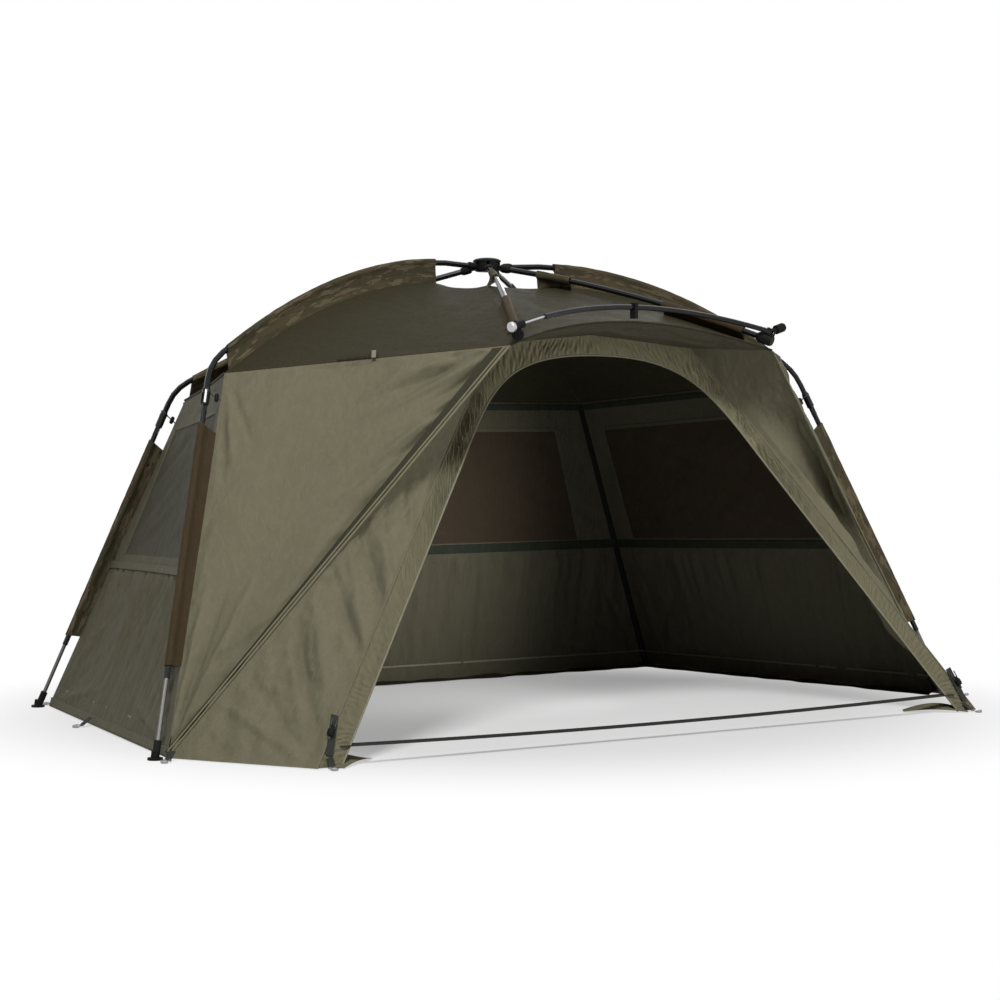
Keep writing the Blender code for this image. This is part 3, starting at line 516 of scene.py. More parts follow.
no_bow = spot_at(0, 0, 0)
apex_gap, hem_from, hem_rise = 0.012, 0.988, 0.0012
roof_panels = (
    ("front", "peak_left", "peak_right", front_bow, "peak_right", 3),
    ("front_right", "peak_right", "rib_front_right", no_bow, "rib_front_right", 5),
    ("right", "rib_front_right", "rib_rear_right", spot_at(-eaves_bow, 0, 0), "rib_front_right", 8),
    ("rear", "rib_rear_right", "rib_rear_left", spot_at(0, -eaves_bow, 0), "rib_rear_right", 11),
    ("left", "rib_rear_left", "rib_front_left", spot_at(eaves_bow, 0, 0), "rib_front_left", 14),
    ("front_left", "rib_front_left", "peak_left", no_bow, "rib_front_left", 17),
)
for panel, left, right, bow, carrier, seed in roof_panels:
    rim_left, rim_right = arms[left].corner, arms[right].corner
    across_marks = both_ways(steps(np.linalg.norm(rim_right - rim_left) / 2, 0.010))
    down_marks = steps(1.0, 0.010, fine=(hem_from,))
    down_marks = down_marks[down_marks >= apex_gap]
    grid, normals = facing(roof_points(left, right, bow, across_marks, down_marks), upward)
    outward = unit(((rim_left + rim_right) / 2 - hub_axis) * level)
    side = spot_at(-outward[1], outward[0], 0)
    height = ripples(grid, seed, (outward, 0.075, 0.5, 0.0028, 0), (outward, 0.2, 0.3, 0.004, 2),
                     (side + outward * 0.6, 0.032, 0.16, 0.0011, 1))
    for share, depth in ((0.25, 0.0022), (0.5, -0.002), (0.78, 0.0022)):
        for rim, other in ((rim_left, rim_right), (rim_right, rim_left)):
            towards = rim * (1 - 0.42) + (skin_apex * share + other * (1 - share)) * 0.42
            height += crease(grid, rim, towards, 0.014, depth)
    hem = (down_marks > hem_from).astype(float)[:, None] * hem_rise
    grid, normals = facing(grid + normals * (height * border(grid, 0.05) + hem)[..., None], upward)
    left_first = np.linalg.norm(grid[-1, 0] - rim_left) < np.linalg.norm(grid[-1, -1] - rim_left)
    for half, body in zip(halves(grid), (left, right) if left_first else (right, left)):
        roof_gather(cut_cloth(f"roof_{panel}_by_{body}", (grid[:, half], normals[:, half]), roof_cloth, body,
                              rests_on=[body + "_arm" if "peak" in body else body],
                              stands_for="roof_" + panel if body == carrier else None), body)


# Walls: three panels that fall from the roof's edge to the ground. A seam crosses each of them at
# about half height, with the cover of a window above it and a looser skirt with a hem below.
ground_clear = 0.003
front_hem, rear_hem = spot_at(1.270, -0.4235, ground_clear), spot_at(1.068, 0.7505, ground_clear)
wall_sag = 0.018
Wall = namedtuple("Wall", "panel first last hem_first hem_last outward seed")
walls = (
    Wall("right", "rib_front_right", "rib_rear_right", front_hem, rear_hem, spot_at(1, 0, 0), 21),
    Wall("rear", "rib_rear_right", "rib_rear_left", rear_hem, rear_hem * flip, spot_at(0, 1, 0), 24),
    Wall("left", "rib_rear_left", "rib_front_left", rear_hem * flip, front_hem * flip, spot_at(-1, 0, 0), 27),
)


def wall_points(wall, across, down):
    """Points on a wall; across from its first pole to its last, and down from the roof."""
    u, t = np.asarray(across)[None, :, None], np.asarray(down)[:, None, None]
    inward = 4 * u * (1 - u) * wall.outward
    top = between(arms[wall.first].corner, arms[wall.last].corner, u) - inward * eaves_bow
    bottom = between(wall.hem_first, wall.hem_last, u)
    return between(top, bottom, t) - inward * np.sin(math.pi * t) * wall_sag


def wall_way(wall):
    return unit((wall.hem_last - wall.hem_first) * level)


def wall_gather(piece, body, way):
    """Gives a wall's half a mesh of its own."""
    fold_up(piece, way, arms[body].corner)


window_film = coated_cloth("window_film", (0.041, 0.030, 0.019), (0.053, 0.040, 0.027), 0.5)
window_cover = coated_cloth("window_cover", (0.043, 0.040, 0.027), (0.055, 0.052, 0.037), 0.9)
seam_share, window_side, window_top, window_sill = 0.54, 0.085, 0.10, 0.505
wall_height, mesh_height, hem_stitch, wall_pitch = 0.95, 0.9, 0.87, 0.011
for wall in walls:
    way, outward, seed = wall_way(wall), wall.outward, wall.seed
    wide = np.linalg.norm(wall.hem_last - wall.hem_first)
    half_marks = steps(wide / 2, wall_pitch, fine=(2 * window_side,)) / 2
    across_marks = np.concatenate([half_marks, 1 - half_marks[-2::-1]])
    for tier, low, tall in (("upper", 0.0, seam_share), ("skirt", seam_share, 1.0 - seam_share)):
        edges = (window_top / seam_share, window_sill / seam_share) if tier == "upper" else (hem_stitch,)
        down_marks = low + tall * steps(mesh_height * tall, wall_pitch, fine=(0.0, *edges, 1.0))
        mid_across, mid_down = ((marks[1:] + marks[:-1]) / 2 for marks in (across_marks, down_marks))
        glazed_over = abs(mid_across - 0.5) < 0.5 - window_side
        glazed_down = abs(mid_down - (window_top + window_sill) / 2) < (window_sill - window_top) / 2
        flat_grid = wall_points(wall, across_marks, down_marks)
        grid, normals = facing(flat_grid, outward)
        mask = border(grid, 0.04)
        fall = fall_line(normals)
        if tier == "upper":
            from_side = abs(abs(across_marks - 0.5) - 0.5 + window_side) * wide
            from_top = np.minimum(abs(down_marks - window_top), abs(down_marks - window_sill)) * wall_height
            mask *= smooth((np.minimum(from_side[None, :], from_top[:, None]) - 0.009) / 0.030)
            height = ripples(grid, seed, (way + fall * 0.5, 0.045, 0.30, 0.0050, 0),
                             (way - fall * 0.8, 0.020, 0.12, 0.0026, 1))
        else:
            slack = 0.6 + 0.9 * np.exp(-((down_marks - low) / 0.22) ** 2)[:, None]
            height = slack * ripples(grid, seed, (fall, 0.026, 0.55, 0.0110, 2),
                                     (fall + way * 0.3, 0.016, 0.16, 0.0034, 3))
            for corner, inward in ((wall.hem_first, way), (wall.hem_last, -way)):
                for share, depth in ((0.35, 0.005), (0.62, -0.004), (0.85, 0.005)):
                    near = corner + inward * 0.03 + upward * 0.02
                    far = corner + inward * 0.46 * share ** 0.5 + fall * 0.50 * (1.05 - share)
                    height += crease(grid, near, far, 0.012, depth, unit(normals.mean((0, 1))))
        grid = grid + normals * (height * mask)[..., None]
        if tier == "skirt":
            grid[..., 2] = np.maximum(grid[..., 2], ground_clear)
        grid, normals = facing(grid, outward)
        in_order = np.linalg.norm(grid[0, 0] - flat_grid[0, 0]) < 0.05
        ends = (wall.first, wall.last) if in_order else (wall.last, wall.first)
        cells = np.split(glazed_down[:, None] & glazed_over[None, :], [grid.shape[1] // 2], axis=1)
        carrier = "rib_rear_left" if wall.panel == "left" else "rib_rear_right"
        for half, glazed, body in zip(halves(grid), cells, ends):
            piece = cut_cloth(f"wall_{wall.panel}_{tier}_by_{body}", (grid[:, half], normals[:, half]),
                              side_cloth_painted_shade, body,
                              stands_for="wall_" + wall.panel if (tier, body) == ("upper", carrier) else None,
                              inset=(window_cover, glazed, window_film) if tier == "upper" else None)
            wall_gather(piece, body, way)


# Wings: beside the door a flat triangle runs from the roof down to the front foot. From its
# front edge, which is a zip between two piped seams, a looser panel turns back to the door's band.
door_foot = -0.7855
door_lean = 0.365 / 1.014


def on_door(out, height):
    """A place in the leaning plane of the door."""
    return spot_at(out, height * door_lean + door_foot, height)


foot_outer, corner_outer, top_outer = on_door(1.060, ground_clear), on_door(0.330, 1.014), on_door(0, 1.045)
front_top, peak_corner = arms["rib_front_right"].corner, arms["peak_right"].corner


def wing_gather(piece, turn):
    """Gives a wing's piece a mesh of its own."""
    fold_up(piece, unit((front_top - peak_corner) * level) * turn, front_top * turn)


def mirrored(grid, turn):
    """A grid drawn for the right side, turned over for the left."""
    return grid if turn[0] > 0 else (grid * flip)[:, ::-1]


ridge_end, wing_pitch = 0.985, 0.0075
for (side_name, turn), seed in zip(hands.items(), (31, 41)):
    body = "rib_front_" + side_name
    shoulder, peak, foot = front_top * turn, peak_corner * turn, front_hem * turn
    outward = unit(spot_at(1, -1, 0)) * turn
    u = steps(0.76, wing_pitch)[None, :, None]
    t = steps(1.1, wing_pitch, fine=(0.012,))
    t = t[t <= ridge_end][:, None, None]
    top = between(front_top, peak_corner, u)
    grid, normals = facing(mirrored(between(top, front_hem, t), turn), outward)
    ridge_way = unit(foot - peak)
    to_ridge = np.linalg.norm(np.cross(grid - peak, ridge_way), axis=2)
    to_peak = np.linalg.norm(grid - peak, axis=2)
    to_side = np.linalg.norm(np.cross(grid - shoulder, unit(foot - shoulder)), axis=2)
    pulled = np.exp(-(to_peak / 0.42) ** 2) + 0.55 * np.exp(-(to_ridge / 0.10) ** 2)
    pulled += 0.4 * np.exp(-(to_side / 0.05) ** 2)
    slant = unit(ridge_way + unit(shoulder - peak) * 0.55)
    height = pulled * ripples(grid, seed, (slant, 0.026, 0.20, 0.0130, 1), (slant, 0.013, 0.07, 0.0036, 5))
    height += ripples(grid, seed, (foot - (shoulder + peak) / 2, 0.11, 0.7, 0.0100, 0),
                      (ridge_way, 0.030, 0.14, 0.0020, 6))
    for share, reach, depth in ((0.14, 0.40, 0.0090), (0.24, 0.55, -0.0075), (0.36, 0.44, 0.0095),
                                (0.52, 0.30, -0.0070), (0.66, 0.42, 0.0080), (0.80, 0.52, -0.0075)):
        far = between(shoulder, foot, share)
        height += crease(grid, peak, peak + (far - peak) * reach, 0.011, depth)
    for share, depth in ((0.06, 0.0085), (0.14, -0.0080), (0.24, 0.0080), (0.4, -0.005)):
        far = peak * share + foot * (1 - share)
        height += crease(grid, shoulder, shoulder + (far - shoulder) * 0.36, 0.010, depth)
        far = peak * share * 2 + shoulder * (1 - share * 2)
        height += crease(grid, foot, foot + (far - foot) * 0.45, 0.010, depth)
    downward = unit(unit(shoulder - peak) * 0.9 - upward)
    for share, length, depth in (
            (0.10, 0.13, 0.006), (0.17, 0.10, -0.006), (0.27, 0.09, 0.005), (0.36, 0.12, -0.006),
            (0.43, 0.07, 0.006), (0.50, 0.12, 0.007), (0.56, 0.09, -0.007), (0.63, 0.15, 0.007),
            (0.70, 0.12, -0.008), (0.76, 0.17, 0.008), (0.83, 0.13, -0.008)):
        start = between(shoulder, peak, share)
        height += crease(grid, start, start + downward * length, 0.0075, depth)
    groove = smooth((to_ridge - 0.006) / 0.012) * np.exp(-(np.maximum(to_ridge - 0.018, 0) / 0.024) ** 2)
    height -= groove * smooth((1.2 - to_peak) / 0.6) * 0.0150
    grid = grid + normals * (height * border(grid, 0.016))[..., None]
    piece = cut_cloth(f"wing_{side_name}_outer", facing(grid, outward), wall_cloth, body,
                      stands_for="wing_" + side_name)
    wing_gather(piece, turn)

    t = steps(1.25, wing_pitch)[:, None, None]
    v = steps(0.22, 0.0065)[None, :, None]
    ridge_line = between(peak_corner, front_hem, t)
    band_line = between(corner_outer, foot_outer, t)
    slack = 4 * v * (1 - v) * np.sin(math.pi * t) * spot_at(0.012, 0.012, 0)
    outward = unit(spot_at(0.5, -1, 0)) * turn
    grid, normals = facing(mirrored(between(ridge_line, band_line, v) + slack, turn), outward)
    loose = 1.0 if side_name == "left" else 0.35
    fall, over, through = fall_line(normals), spot_at(1, 0.4, 0) * turn, unit(normals.mean((0, 1)))
    height = loose * ripples(
        grid, seed, (fall, 0.040, 0.80, 0.0075, 2), (fall + over * 0.25, 0.014, 0.30, 0.0034, 3),
        (fall - over * 0.6, 0.010, 0.06, 0.0028, 7), (fall + over * 0.9, 0.008, 0.04, 0.0018, 8))
    for share, length, drift, depth in (
            (0.20, 0.30, 0.05, 0.014), (0.29, 0.44, -0.01, -0.020), (0.37, 0.52, 0.03, 0.020),
            (0.43, 0.64, -0.02, -0.034), (0.47, 0.50, 0.03, 0.022), (0.53, 0.38, -0.03, -0.022),
            (0.58, 0.28, 0.03, 0.018), (0.67, 0.18, -0.02, -0.012)):
        start = between(peak, foot, share)
        end = start - fall * length + over * drift
        height += crease(grid, start, end, 0.013, depth * 0.62 * loose, through)
    for share, depth in ((0.56, -0.014), (0.63, -0.034), (0.66, 0.018), (0.78, -0.010), (0.86, 0.012)):
        start = between(peak, foot, share)
        end = foot_outer * turn * 0.93 + start * 0.07
        height += crease(grid, start, end, 0.012, depth * 0.55 * loose, through)
    if side_name == "right":
        run, over = t[..., 0], v[..., 0]
        open_part = smooth((run - 0.12) / 0.28) * smooth((0.95 - run) / 0.2)
        height -= open_part * 0.056 * smooth(over / 0.17) * (1 - smooth((over - 0.19) / 0.7))
        fuller = smooth((0.8 - run) / 0.4) * smooth((over - 0.3) / 0.5) * smooth((1 - over) / 0.18)
        height += open_part * 0.020 * fuller
    grid = grid + normals * (height * border(grid, 0.03))[..., None]
    grid[..., 2] = np.maximum(grid[..., 2], ground_clear)
    piece = cut_cloth(f"wing_{side_name}_inner", facing(grid, outward), wall_cloth, body)
    wing_gather(piece, turn)


# Peak valance: a strip from the bowed front edge of the roof back down to the top of the door.
# It hangs under the cross bar, slack in the middle and drawn out at the two corners.
def valance_points(across, down):
    u, t = np.asarray(across)[None, :, None], np.asarray(down)[:, None, None]
    front = peak_corner * flip * (1 - u) + peak_corner * u + 4 * u * (1 - u) * front_bow
    rising = np.minimum(2 * u, 2 - 2 * u)
    side = np.where(u < 0.5, corner_outer * flip, corner_outer)
    back = between(side, top_outer, rising)
    return between(front, back, t)


outward = spot_at(0, -1, -0.6)
grid, normals = facing(valance_points(both_ways(steps(0.43, 0.008)), steps(0.24, 0.008)), outward)
height = ripples(grid, 51, ((1, 0, 0.1), 0.030, 0.24, 0.0050, 0), ((1, 0.3, 0), 0.016, 0.1, 0.0016, 1))
grid, normals = facing(grid + normals * (height * border(grid, 0.02))[..., None], outward)
for half in halves(grid):
    side_name = "left" if grid[:, half][..., 0].mean() < 0 else "right"
    body = "peak_" + side_name
    # The valance's cloth is darkened: painted shade.
    piece = cut_cloth("valance_by_" + body, (grid[:, half], normals[:, half]), side_cloth_painted_shade, body,
                      rests_on=["clamp_" + side_name],
                      stands_for="peak_valance" if side_name == "right" else None)
    roof_gather(piece, body)


# Door band: a strip of the same cloth round the arched door, gathered on elastic over the top
# and down to the middle of each side, with a thin bound edge on the inside.
spring_share, turn_share, leg_share = 0.69, 0.8295, 0.79
sill_half, spring_half, spring_height, arch_rise = 0.995, 0.497, 0.700, 0.290
ruffle_pitch, second_pitch, ruffle_depth = 0.0145, 0.0092, 0.0036


def door_half(height):
    """Half the door's width at a height below the spring of its arch."""
    return sill_half + (spring_half - sill_half) * height / spring_height


def arch_inner(share):
    """The door's edge on the right, from the ground at 0 to the middle of the top at 1."""
    height = ground_clear + (spring_height - ground_clear) * np.clip(share / spring_share, 0, 1)
    t = np.clip((share - spring_share) / (1 - spring_share), 0, 1)
    weights = ((1 - t) ** 3, 3 * t * (1 - t) ** 2, 3 * t * t * (1 - t), t ** 3)
    curve_out = sum(w * spring_half * s for w, s in zip(weights, (1.0, 0.724, 0.604, 0.0)))
    curve_up = spring_height + sum(w * arch_rise * s for w, s in zip(weights, (0.0, 0.69, 1.0, 1.0)))
    high = share > spring_share
    out, height = np.where(high, curve_out, door_half(height)), np.where(high, curve_up, height)
    return np.stack([out, height * door_lean + door_foot, height], -1)


def band_edges(share):
    """Inner and outer edge of the band on the right; 0 is the ground and 1 the middle of the top."""
    leg, over = np.clip(share / leg_share, 0, 1), np.clip((share - leg_share) / (1 - leg_share), 0, 1)
    inner = arch_inner(np.where(share < leg_share, turn_share * leg, turn_share + (1 - turn_share) * over))
    outer = foot_outer * (1 - leg)[:, None] + corner_outer * leg[:, None]
    top = corner_outer * (1 - over)[:, None] + top_outer * over[:, None]
    return inner, np.where((share > leg_share)[:, None], top, outer)


inner_edge, outer_edge = band_edges(steps(1.55, 0.0026))
run = run_along(inner_edge)[:, None]
lifted = (0.30 + 0.70 * smooth((inner_edge[:, 2] - 0.36) / 0.34))[:, None]
# The band is painted lighter from 0.85 m to 1.30 m along it, over the arch: painted light.
band_cloth_painted_light = coated_cloth("band_polyester_painted_light", (0.118, 0.109, 0.068), (0.154, 0.145, 0.094), 0.9, (0.85, 1.30))
forward = spot_at(0, -1, 0)
for (side_name, turn), seed in zip(hands.items(), (61, 71)):
    w = steps(0.06, 0.0036)[None, :, None]
    grid, normals = facing(mirrored(inner_edge[:, None] * (1 - w) + outer_edge[:, None] * w, turn), forward)
    wobble = ripple(grid, (0, 0, 1), 0.05, 0.05, seed) * 2.4
    share = np.linalg.norm(grid - grid[:, :1], axis=2) / np.linalg.norm(grid[:, -1:] - grid[:, :1], axis=2)
    if not np.allclose(grid[:, 0], inner_edge * turn):
        share = 1 - share
    waves = np.sin(run * math.tau / ruffle_pitch + wobble * 3.0 + share * 3.2)
    waves += 0.6 * np.sin(run * math.tau / second_pitch + wobble * 4.0 - share * 4.0)
    profile = np.sin(math.pi * np.clip(share, 0.0, 1.0)) ** 0.5
    height = waves * profile * ruffle_depth * lifted
    height += ripple(grid, unit(spot_at(-0.6, 0.35, 1)) * turn, 0.016, 0.12, seed + 1) * 0.0030 * profile
    grid = grid + normals * height[..., None]
    grid[..., 2] = np.maximum(grid[..., 2], ground_clear)
    piece = cut_cloth("door_band_" + side_name, facing(grid, forward), band_cloth_painted_light, "rib_front_" + side_name,
                      rests_on=["peak_" + side_name],
                      stands_for="door_band" if side_name == "right" else None)
    wing_gather(piece, turn)


# Pole sleeves: camouflage cloth sewn round each pole, with a web down to the seam of the skin.
# Each is hemmed square at its two ends, and the pole shows bare at the hub and at the knee.
def loft(name, rings, paint, sharp=50, wrap=False):
    """A closed skin over rings of points, facing out; capped, or joined last ring to first."""
    index = np.arange(rings.shape[0] * rings.shape[1]).reshape(rings.shape[:2])
    rows = np.concatenate([index, index[:1]]) if wrap else index
    turned = np.roll(rows, -1, axis=1)
    groups = [np.stack([rows[:-1], turned[:-1], turned[1:], rows[1:]], -1).reshape(-1, 4)]
    if not wrap:
        groups += [index[:1, ::-1], index[-1:]]
    verts = rings.reshape(-1, 3)
    spread = verts - verts.mean(0)
    volume = sum((spread[g[:, :1]] * np.cross(spread[g[:, 1:-1]], spread[g[:, 2:]])).sum() for g in groups)
    faces = [face for g in groups for face in (g if volume > 0 else g[:, ::-1]).tolist()]
    piece = shaped(name, verts, faces, [paint])
    piece.data.shade_smooth()
    piece.data.set_sharp_from_angle(angle=math.radians(sharp))
    return piece


def tangents(path):
    way = np.gradient(path, axis=0)
    return way / np.linalg.norm(way, axis=1, keepdims=True)


camo, camo_shader, camo_object = finish("camouflage_cloth", Specular_IOR_Level=0.06)
camo_place = stretched(camo_object.node("ShaderNodeUVMap", uv_map="cut"), (2.0, 0.40, 1.0))
camo_stir = camo_place.node("ShaderNodeTexNoise", {"Vector": camo_place, "Scale": 22, "Detail": 2}, "Color")
camo_shift = {0: camo_stir, 1: (0.03, 0.03, 0.03), 2: camo_place}
camo_bent = camo_place.node("ShaderNodeVectorMath", camo_shift, operation="MULTIPLY_ADD")
camo_large = mottle(stretched(camo_bent, (1, 1, 1.4)), 17, 2.0, 0.5)
camo_small = mottle(stretched(camo_bent, (1.3, 1.3, 1)), 33, 2.0, 0.55)
camo_fleck = mottle(camo_bent, 64, 2.0, 0.6)
camo_tone = colours(rise(camo_large, 0.47, 0.51), (0.058, 0.045, 0.026), (0.043, 0.038, 0.022))
camo_tone = colours(rise(camo_small, 0.53, 0.58), camo_tone, (0.092, 0.074, 0.045))
camo_tone = colours(rise(camo_fleck, 0.62, 0.66), camo_tone, (0.030, 0.024, 0.015))
camo_crumple = mottle(stretched(camo_place, (1, 1, 0.5)), 60, 4.0, 0.6)
feed(camo_shader, Base_Color=camo_tone, Roughness=0.66 + camo_small * 0.14,
     Normal=bump(camo_crumple, 0.5, 0.005))

plain_sleeve = coated_cloth("sleeve_polyester", (0.038, 0.027, 0.014), (0.052, 0.040, 0.024), 0.6)


def pole_sleeve(name, line, seam, radius, body, stands_for, paint, seed):
    """A tube round the pole's line with a flat web down to the seam's line."""
    way = tangents(line)
    deep = np.linalg.norm(seam - line, axis=1, keepdims=True)
    down = (seam - line) / deep
    side = np.cross(way, down)
    side /= np.linalg.norm(side, axis=1, keepdims=True)
    around = 24
    web = ((0.0012, deep + 0.0025), (0.0022, deep * 0.62), (0.0042, radius + 0.0052))
    grown, bore = radius + 0.0026, radius + 0.0006
    outer, inner = [], []
    for k in range(around):
        angle = math.tau * (k + 0.5) / around
        from_seam = min(k, around - 1 - k)
        if from_seam < len(web):
            aside, low = web[from_seam]
            outer.append(line + side * aside * (1 if k == from_seam else -1) + down * low)
        else:
            outer.append(line + side * grown * math.sin(angle) + down * grown * math.cos(angle))
        inner.append(line + side * bore * math.sin(angle) + down * bore * math.cos(angle))
    outer, inner = np.stack(outer, 1), np.stack(inner, 1)
    shape, sway = np.ones(around), np.zeros(around)
    shape[[0, -1]] = 0.15
    sway[[1, -2]] = 1.0
    away = outer - line[:, None]
    away /= np.linalg.norm(away, axis=2, keepdims=True)
    pucker = ripple(outer, way.mean(0), 0.012, 0.05, seed)
    outer = outer + away * (np.abs(pucker) * 0.0016 * shape)[..., None]
    wave = ripple(line, way.mean(0), 0.05, 0.05, seed + 3) * 0.0022
    outer = outer + side[:, None] * (wave[:, None] * sway)[..., None]
    piece = loft(name, np.concatenate([outer, inner[::-1]]), paint, 60, True)
    run = run_along(line)
    girth = np.cumsum(np.linalg.norm(outer - np.roll(outer, 1, axis=1), axis=2).mean(0)) + seed * 0.37
    rows = np.concatenate([run, run[::-1]])
    lay_cut(piece, np.stack(np.broadcast_arrays(girth[None, :], rows[:, None]), -1).reshape(-1, 2))
    hang(piece, body, stands_for)


corners = [(f"{end_name}_{side_name}", turn, foot * turn, hem * turn)
           for end_name, foot, hem in (("front", spot_at(1.300, -0.4215, 0), front_hem),
                                       ("rear", spot_at(1.095, 0.7655, 0), rear_hem))
           for side_name, turn in hands.items()]
for corner_name, turn, foot, hem in corners:
    rib = "rib_" + corner_name
    seed = len(corner_name) * 3 + (9 if turn is flip else 2)
    shares = np.linspace(0.150, 0.985, 84)
    pole_sleeve("roof_sleeve_cloth_" + corner_name, arm_curve(rib, shares), arm_seam(rib, shares), 0.008,
                rib, "roof_sleeve_" + corner_name, camo, seed)
    shares = np.linspace(0.165, 0.775, 66)[:, None]
    leg_line = between(arms[rib].end, foot, shares)
    leg_seam = between(arms[rib].corner, hem, shares)
    pole_sleeve("leg_sleeve_cloth_" + corner_name, leg_line, leg_seam, 0.0075,
                "leg_" + corner_name, "leg_sleeve_" + corner_name,
                plain_sleeve if corner_name == "front_left" else camo, seed + 1)
for side_name in hands:
    arm_name = "peak_" + side_name
    for part, low, high, paint, slot_name in (("upper", 0.110, 0.240, camo, "camo_cloth"),
                                              ("lower", 0.600, 0.900, plain_sleeve, "olive_cloth")):
        shares = np.linspace(low, high, 24)
        pole_sleeve(f"peak_sleeve_cloth_{part}_{side_name}", arm_curve(arm_name, shares),
                    arm_seam(arm_name, shares), 0.008, arm_name, f"peak_{side_name}_sleeve_{part}",
                    paint, 80 + len(part + side_name))


# Seam tapes, bindings and piping: narrow strips folded over the raw edges and stitched down, round
# the door, along the ridges of the wings, on the roof's edge and across the walls. Inside, along
# each wall's hem, a flap of the roof's cloth lies on the ground.
def tape(name, path, face, wide, paint, body, thick=0.0014, lift=0.0006):
    """A flat strip along a path, lifted off the face that it lies on."""
    way = tangents(path)
    side = np.cross(way, np.broadcast_to(face, path.shape))
    side /= np.linalg.norm(side, axis=1, keepdims=True)
    up = np.cross(side, way)
    profile = ((-0.5, 0), (-0.46, 1), (0.46, 1), (0.5, 0), (0.46, -0.2), (-0.46, -0.2))
    rings = np.stack([path + side * (x * wide) + up * (lift + z * thick) for x, z in profile], 1)
    return hang(loft(name, rings, paint), body)


def piping(name, path, radius, paint, body):
    """A round cord sewn into a seam."""
    way = tangents(path)
    side = np.cross(way, np.where(np.abs(way[:, 2:3]) > 0.9, spot_at(1, 0, 0), upward))
    side /= np.linalg.norm(side, axis=1, keepdims=True)
    other = np.cross(side, way)
    angles = math.tau * np.arange(8) / 8
    rings = np.stack([path + side * radius * math.cos(a) + other * radius * math.sin(a) for a in angles], 1)
    return hang(loft(name, rings, paint), body)


def wall_strip(wall, body, label, across, down, wide, paint, lift=0.0006, sides=("outside", "inside")):
    """A strip along a line on a wall, on its outside, its inside or both."""
    grid = wall_points(wall, across, down)
    path = grid[0] if len(down) == 1 else grid[:, 0]
    out = wall_out(wall)
    for side in sides:
        name = f"{label}_{side}_{wall.panel}_by_{body}"
        if side == "outside":
            piece = tape(name, path, out, wide, paint, body, lift=lift)
        else:
            piece = tape(name, path - out * cloth_thickness, -out, wide, paint, body, lift=lift)
        wall_gather(piece, body, wall_way(wall))


def wall_out(wall):
    """The way that a wall faces, over all."""
    return unit(facing(wall_points(wall, [0, 0.5, 1], [0, 0.5, 1]), wall.outward)[1].mean((0, 1)))


piped_cloth = coated_cloth("wing_piping", (0.135, 0.125, 0.080), (0.17, 0.16, 0.11), 0.4)
# A dark strip beside each wing's ridge: painted shadow.
ridge_shadow_cloth = coated_cloth("ridge_painted_shadow", (0.034, 0.032, 0.020), (0.046, 0.043, 0.028), 0.5)
binding_cloth = coated_cloth("binding_tape", (0.165, 0.156, 0.108), (0.22, 0.21, 0.155), 0.4)
# Dark strips down the inside corners of the walls: painted shade.
corner_shade_tape = coated_cloth("corner_painted_shade", (0.013, 0.016, 0.012), (0.02, 0.025, 0.02), 0.5)
green_tape = coated_cloth("green_seam_tape", (0.020, 0.025, 0.017), (0.032, 0.040, 0.028), 0.9)
piping_gap = 0.0115
seam_rows = 118  # the rows of the band's outer edge up to the roof's corner
for side_name, turn in hands.items():
    body = "rib_front_" + side_name
    inner, outer = band_edges(steps(1.5, 0.010))
    wing_gather(piping(f"door_binding_{side_name}", inner * turn, 0.0026, binding_cloth, body), turn)
    band_seam = outer[:seam_rows] * turn + forward * 0.001
    wing_gather(piping(f"band_seam_{side_name}", band_seam, 0.0022, wall_cloth, body), turn)
    shares = np.linspace(0.004, ridge_end, 90)[:, None]
    ridge_line = between(peak_corner, front_hem, shares) * turn
    out = unit(spot_at(0.9, -1, 0.25)) * turn
    aside = unit(front_top - peak_corner) * turn
    for off, label in ((0.0, "front"), (piping_gap, "back")):
        path = ridge_line + aside * off + out * 0.0026
        wing_gather(piping(f"wing_piping_{label}_{side_name}", path, 0.0027, piped_cloth, body), turn)
    # Beyond the back piping, a dark strip that widens towards the peak: painted shadow of the groove there.
    shadow_wide = aside * (0.003 + 0.026 * (1 - shares) ** 1.3)
    over = np.linspace(0.02, 0.98, 7)[None, :, None]
    strip = ridge_line[:, None] + aside * 0.014 + shadow_wide[:, None] * over
    strip = strip + out * (0.0016 + 0.0010 * np.cos(over * math.tau))
    wing_gather(cut_cloth(f"wing_ridge_shadow_{side_name}", facing(strip, out), ridge_shadow_cloth, body), turn)

for body, low, high in (("peak_left", 0.0, 0.5), ("peak_right", 0.5, 1.0)):
    front_edge = valance_points(np.linspace(low, high, 60), [0.0])[0] + spot_at(0, -0.002, 0.001)
    roof_gather(piping("roof_binding_by_" + body, front_edge, 0.0030, roof_cloth, body), body)

